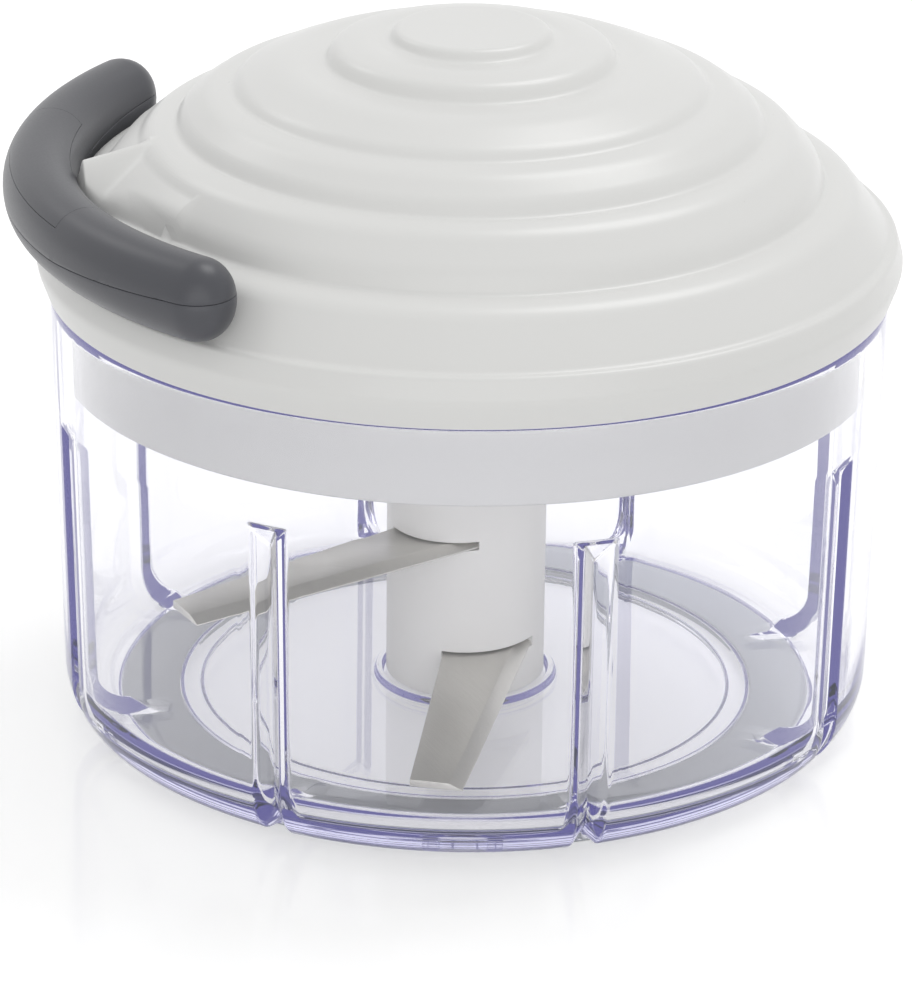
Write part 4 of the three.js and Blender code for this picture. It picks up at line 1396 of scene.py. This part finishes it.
def white_floor_material():
    """Gloss white acrylic sheet: white to the eye, with the object's shadow and a faint mirror image."""
    material, tree = empty_material("gloss_white_sheet")
    inputs = {"Base Color": linear("#f4f4f4"), "Roughness": 0.12, "IOR": 1.35}
    sheet = add_node(tree, "ShaderNodeBsdfPrincipled", inputs).outputs["BSDF"]
    # It glows a little, to the eye only, so that it is white where the lamps light it less
    inputs = {"Color": linear("#ffffff"), "Strength": 0.36}
    glow = add_node(tree, "ShaderNodeEmission", inputs).outputs["Emission"]
    lit = add_node(tree, "ShaderNodeAddShader", {0: sheet, 1: glow}).outputs["Shader"]
    show(tree, either(tree, seen_ray(tree), sheet, lit))
    return material


class CHOPPER_OT_stage(Operator):
    """Sets up the floor, the light and the camera"""

    bl_idname = "chopper.stage"
    bl_label = "Stage"

    def execute(self, context):
        s = context.scene.chopper_stage
        scene = context.scene
        scene.view_settings.view_transform = "Standard"

        mesh = bpy.data.meshes.new("floor")
        bm = bmesh.new()
        bmesh.ops.create_grid(bm, x_segments=1, y_segments=1, size=s.floor_size / 2)
        bm.to_mesh(mesh)
        bm.free()
        floor = bpy.data.objects.new("floor", mesh)
        scene.collection.objects.link(floor)
        mesh.materials.append(white_floor_material())

        # The sky is white to the eye and lights the scene more weakly
        scene.world = bpy.data.worlds.new("studio")
        scene.world.use_nodes = True
        tree = scene.world.node_tree
        tree.nodes.clear()
        strength = ranged(tree, seen_ray(tree), target=(s.sky, 1))
        back = add_node(tree, "ShaderNodeBackground", {"Color": linear("#ffffff"), "Strength": strength})
        add_node(tree, "ShaderNodeOutputWorld", {"Surface": back.outputs["Background"]})

        # Each lamp: its name, its place from the chopper's middle, its width and its power
        middle = AXIS + Vector((0, 0, 0.06))
        for name, place, size, power in (
            ("top_softbox", (0.35, 0.2, 0.85), 0.5, s.top_lamp),
            ("back_left_softbox", (-0.46, 0.62, 0.7), 0.35, s.back_lamp),
            ("front_softbox", (-0.1, -1.1, 0.08), 1.4, s.front_lamp),
        ):
            area_lamp(name, middle + Vector(place), middle, size, power)

        # The camera looks at the target, leans, and then turns so that the target is a little off the middle
        target = AXIS + Vector((0, 0, s.aim_height))
        place = AXIS + Vector(s.camera)
        ahead = (target - place).normalized()
        right = ahead.cross(UP).normalized()
        over = right.cross(ahead)
        right, over = (
            right * math.cos(s.roll) + over * math.sin(s.roll),
            over * math.cos(s.roll) - right * math.sin(s.roll),
        )
        ahead = (ahead - right * s.aim_across - over * s.aim_above).normalized()
        right = (right - ahead * right.dot(ahead)).normalized()
        over = right.cross(ahead)
        data = bpy.data.cameras.new("camera")
        data.lens = s.lens
        data.sensor_width = 36
        data.clip_start, data.clip_end = 0.05, 20
        camera = bpy.data.objects.new("camera", data)
        facing = Matrix((right, over, -ahead)).transposed()
        camera.matrix_world = Matrix.Translation(place) @ facing.to_4x4()
        scene.collection.objects.link(camera)
        scene.camera = camera
        return {"FINISHED"}


# The add-on


class CHOPPER_PT_panel(Panel):
    """Lists the chopper's pieces, sizes and colours"""

    bl_idname = "CHOPPER_PT_panel"
    bl_label = "Food chopper"
    bl_space_type = "VIEW_3D"
    bl_region_type = "UI"
    bl_category = "Chopper"

    def draw(self, context):
        for operator in OPERATORS:
            self.layout.operator(operator.bl_idname)
        for name, group in GROUPS.items():
            box = self.layout.box()
            box.label(text=group.__doc__)
            for key in group.__annotations__:
                box.prop(getattr(context.scene, name), key)


GROUPS = {
    "chopper_bowl": BowlSizes,
    "chopper_blades": BladeSizes,
    "chopper_lid": LidSizes,
    "chopper_handle": HandleSizes,
    "chopper_finishes": Finishes,
    "chopper_stage": StageSizes,
}
OPERATORS = (
    CHOPPER_OT_stage,
    CHOPPER_OT_bowl,
    CHOPPER_OT_foot_ring,
    CHOPPER_OT_hub,
    CHOPPER_OT_blades,
    CHOPPER_OT_dome,
    CHOPPER_OT_eyelet,
    CHOPPER_OT_cover,
    CHOPPER_OT_screws,
    CHOPPER_OT_grip,
    CHOPPER_OT_cord,
    CHOPPER_OT_works,
)


def register():
    for group in GROUPS.values():
        bpy.utils.register_class(group)
    for cls in (*OPERATORS, CHOPPER_PT_panel):
        bpy.utils.register_class(cls)
    for name, group in GROUPS.items():
        setattr(bpy.types.Scene, name, PointerProperty(type=group))


def unregister():
    for name in GROUPS:
        delattr(bpy.types.Scene, name)
    for cls in (CHOPPER_PT_panel, *reversed(OPERATORS)):
        bpy.utils.unregister_class(cls)
    for group in reversed(GROUPS.values()):
        bpy.utils.unregister_class(group)


def main():
    register()
    bpy.ops.chopper.stage()
    bpy.ops.chopper.bowl()
    bpy.ops.chopper.foot_ring()
    bpy.ops.chopper.hub()
    bpy.ops.chopper.blades()
    bpy.ops.chopper.dome()
    bpy.ops.chopper.eyelet()
    bpy.ops.chopper.cover()
    bpy.ops.chopper.screws()
    bpy.ops.chopper.grip()
    bpy.ops.chopper.cord()
    bpy.ops.chopper.works()


if __name__ == "__main__":
    main()
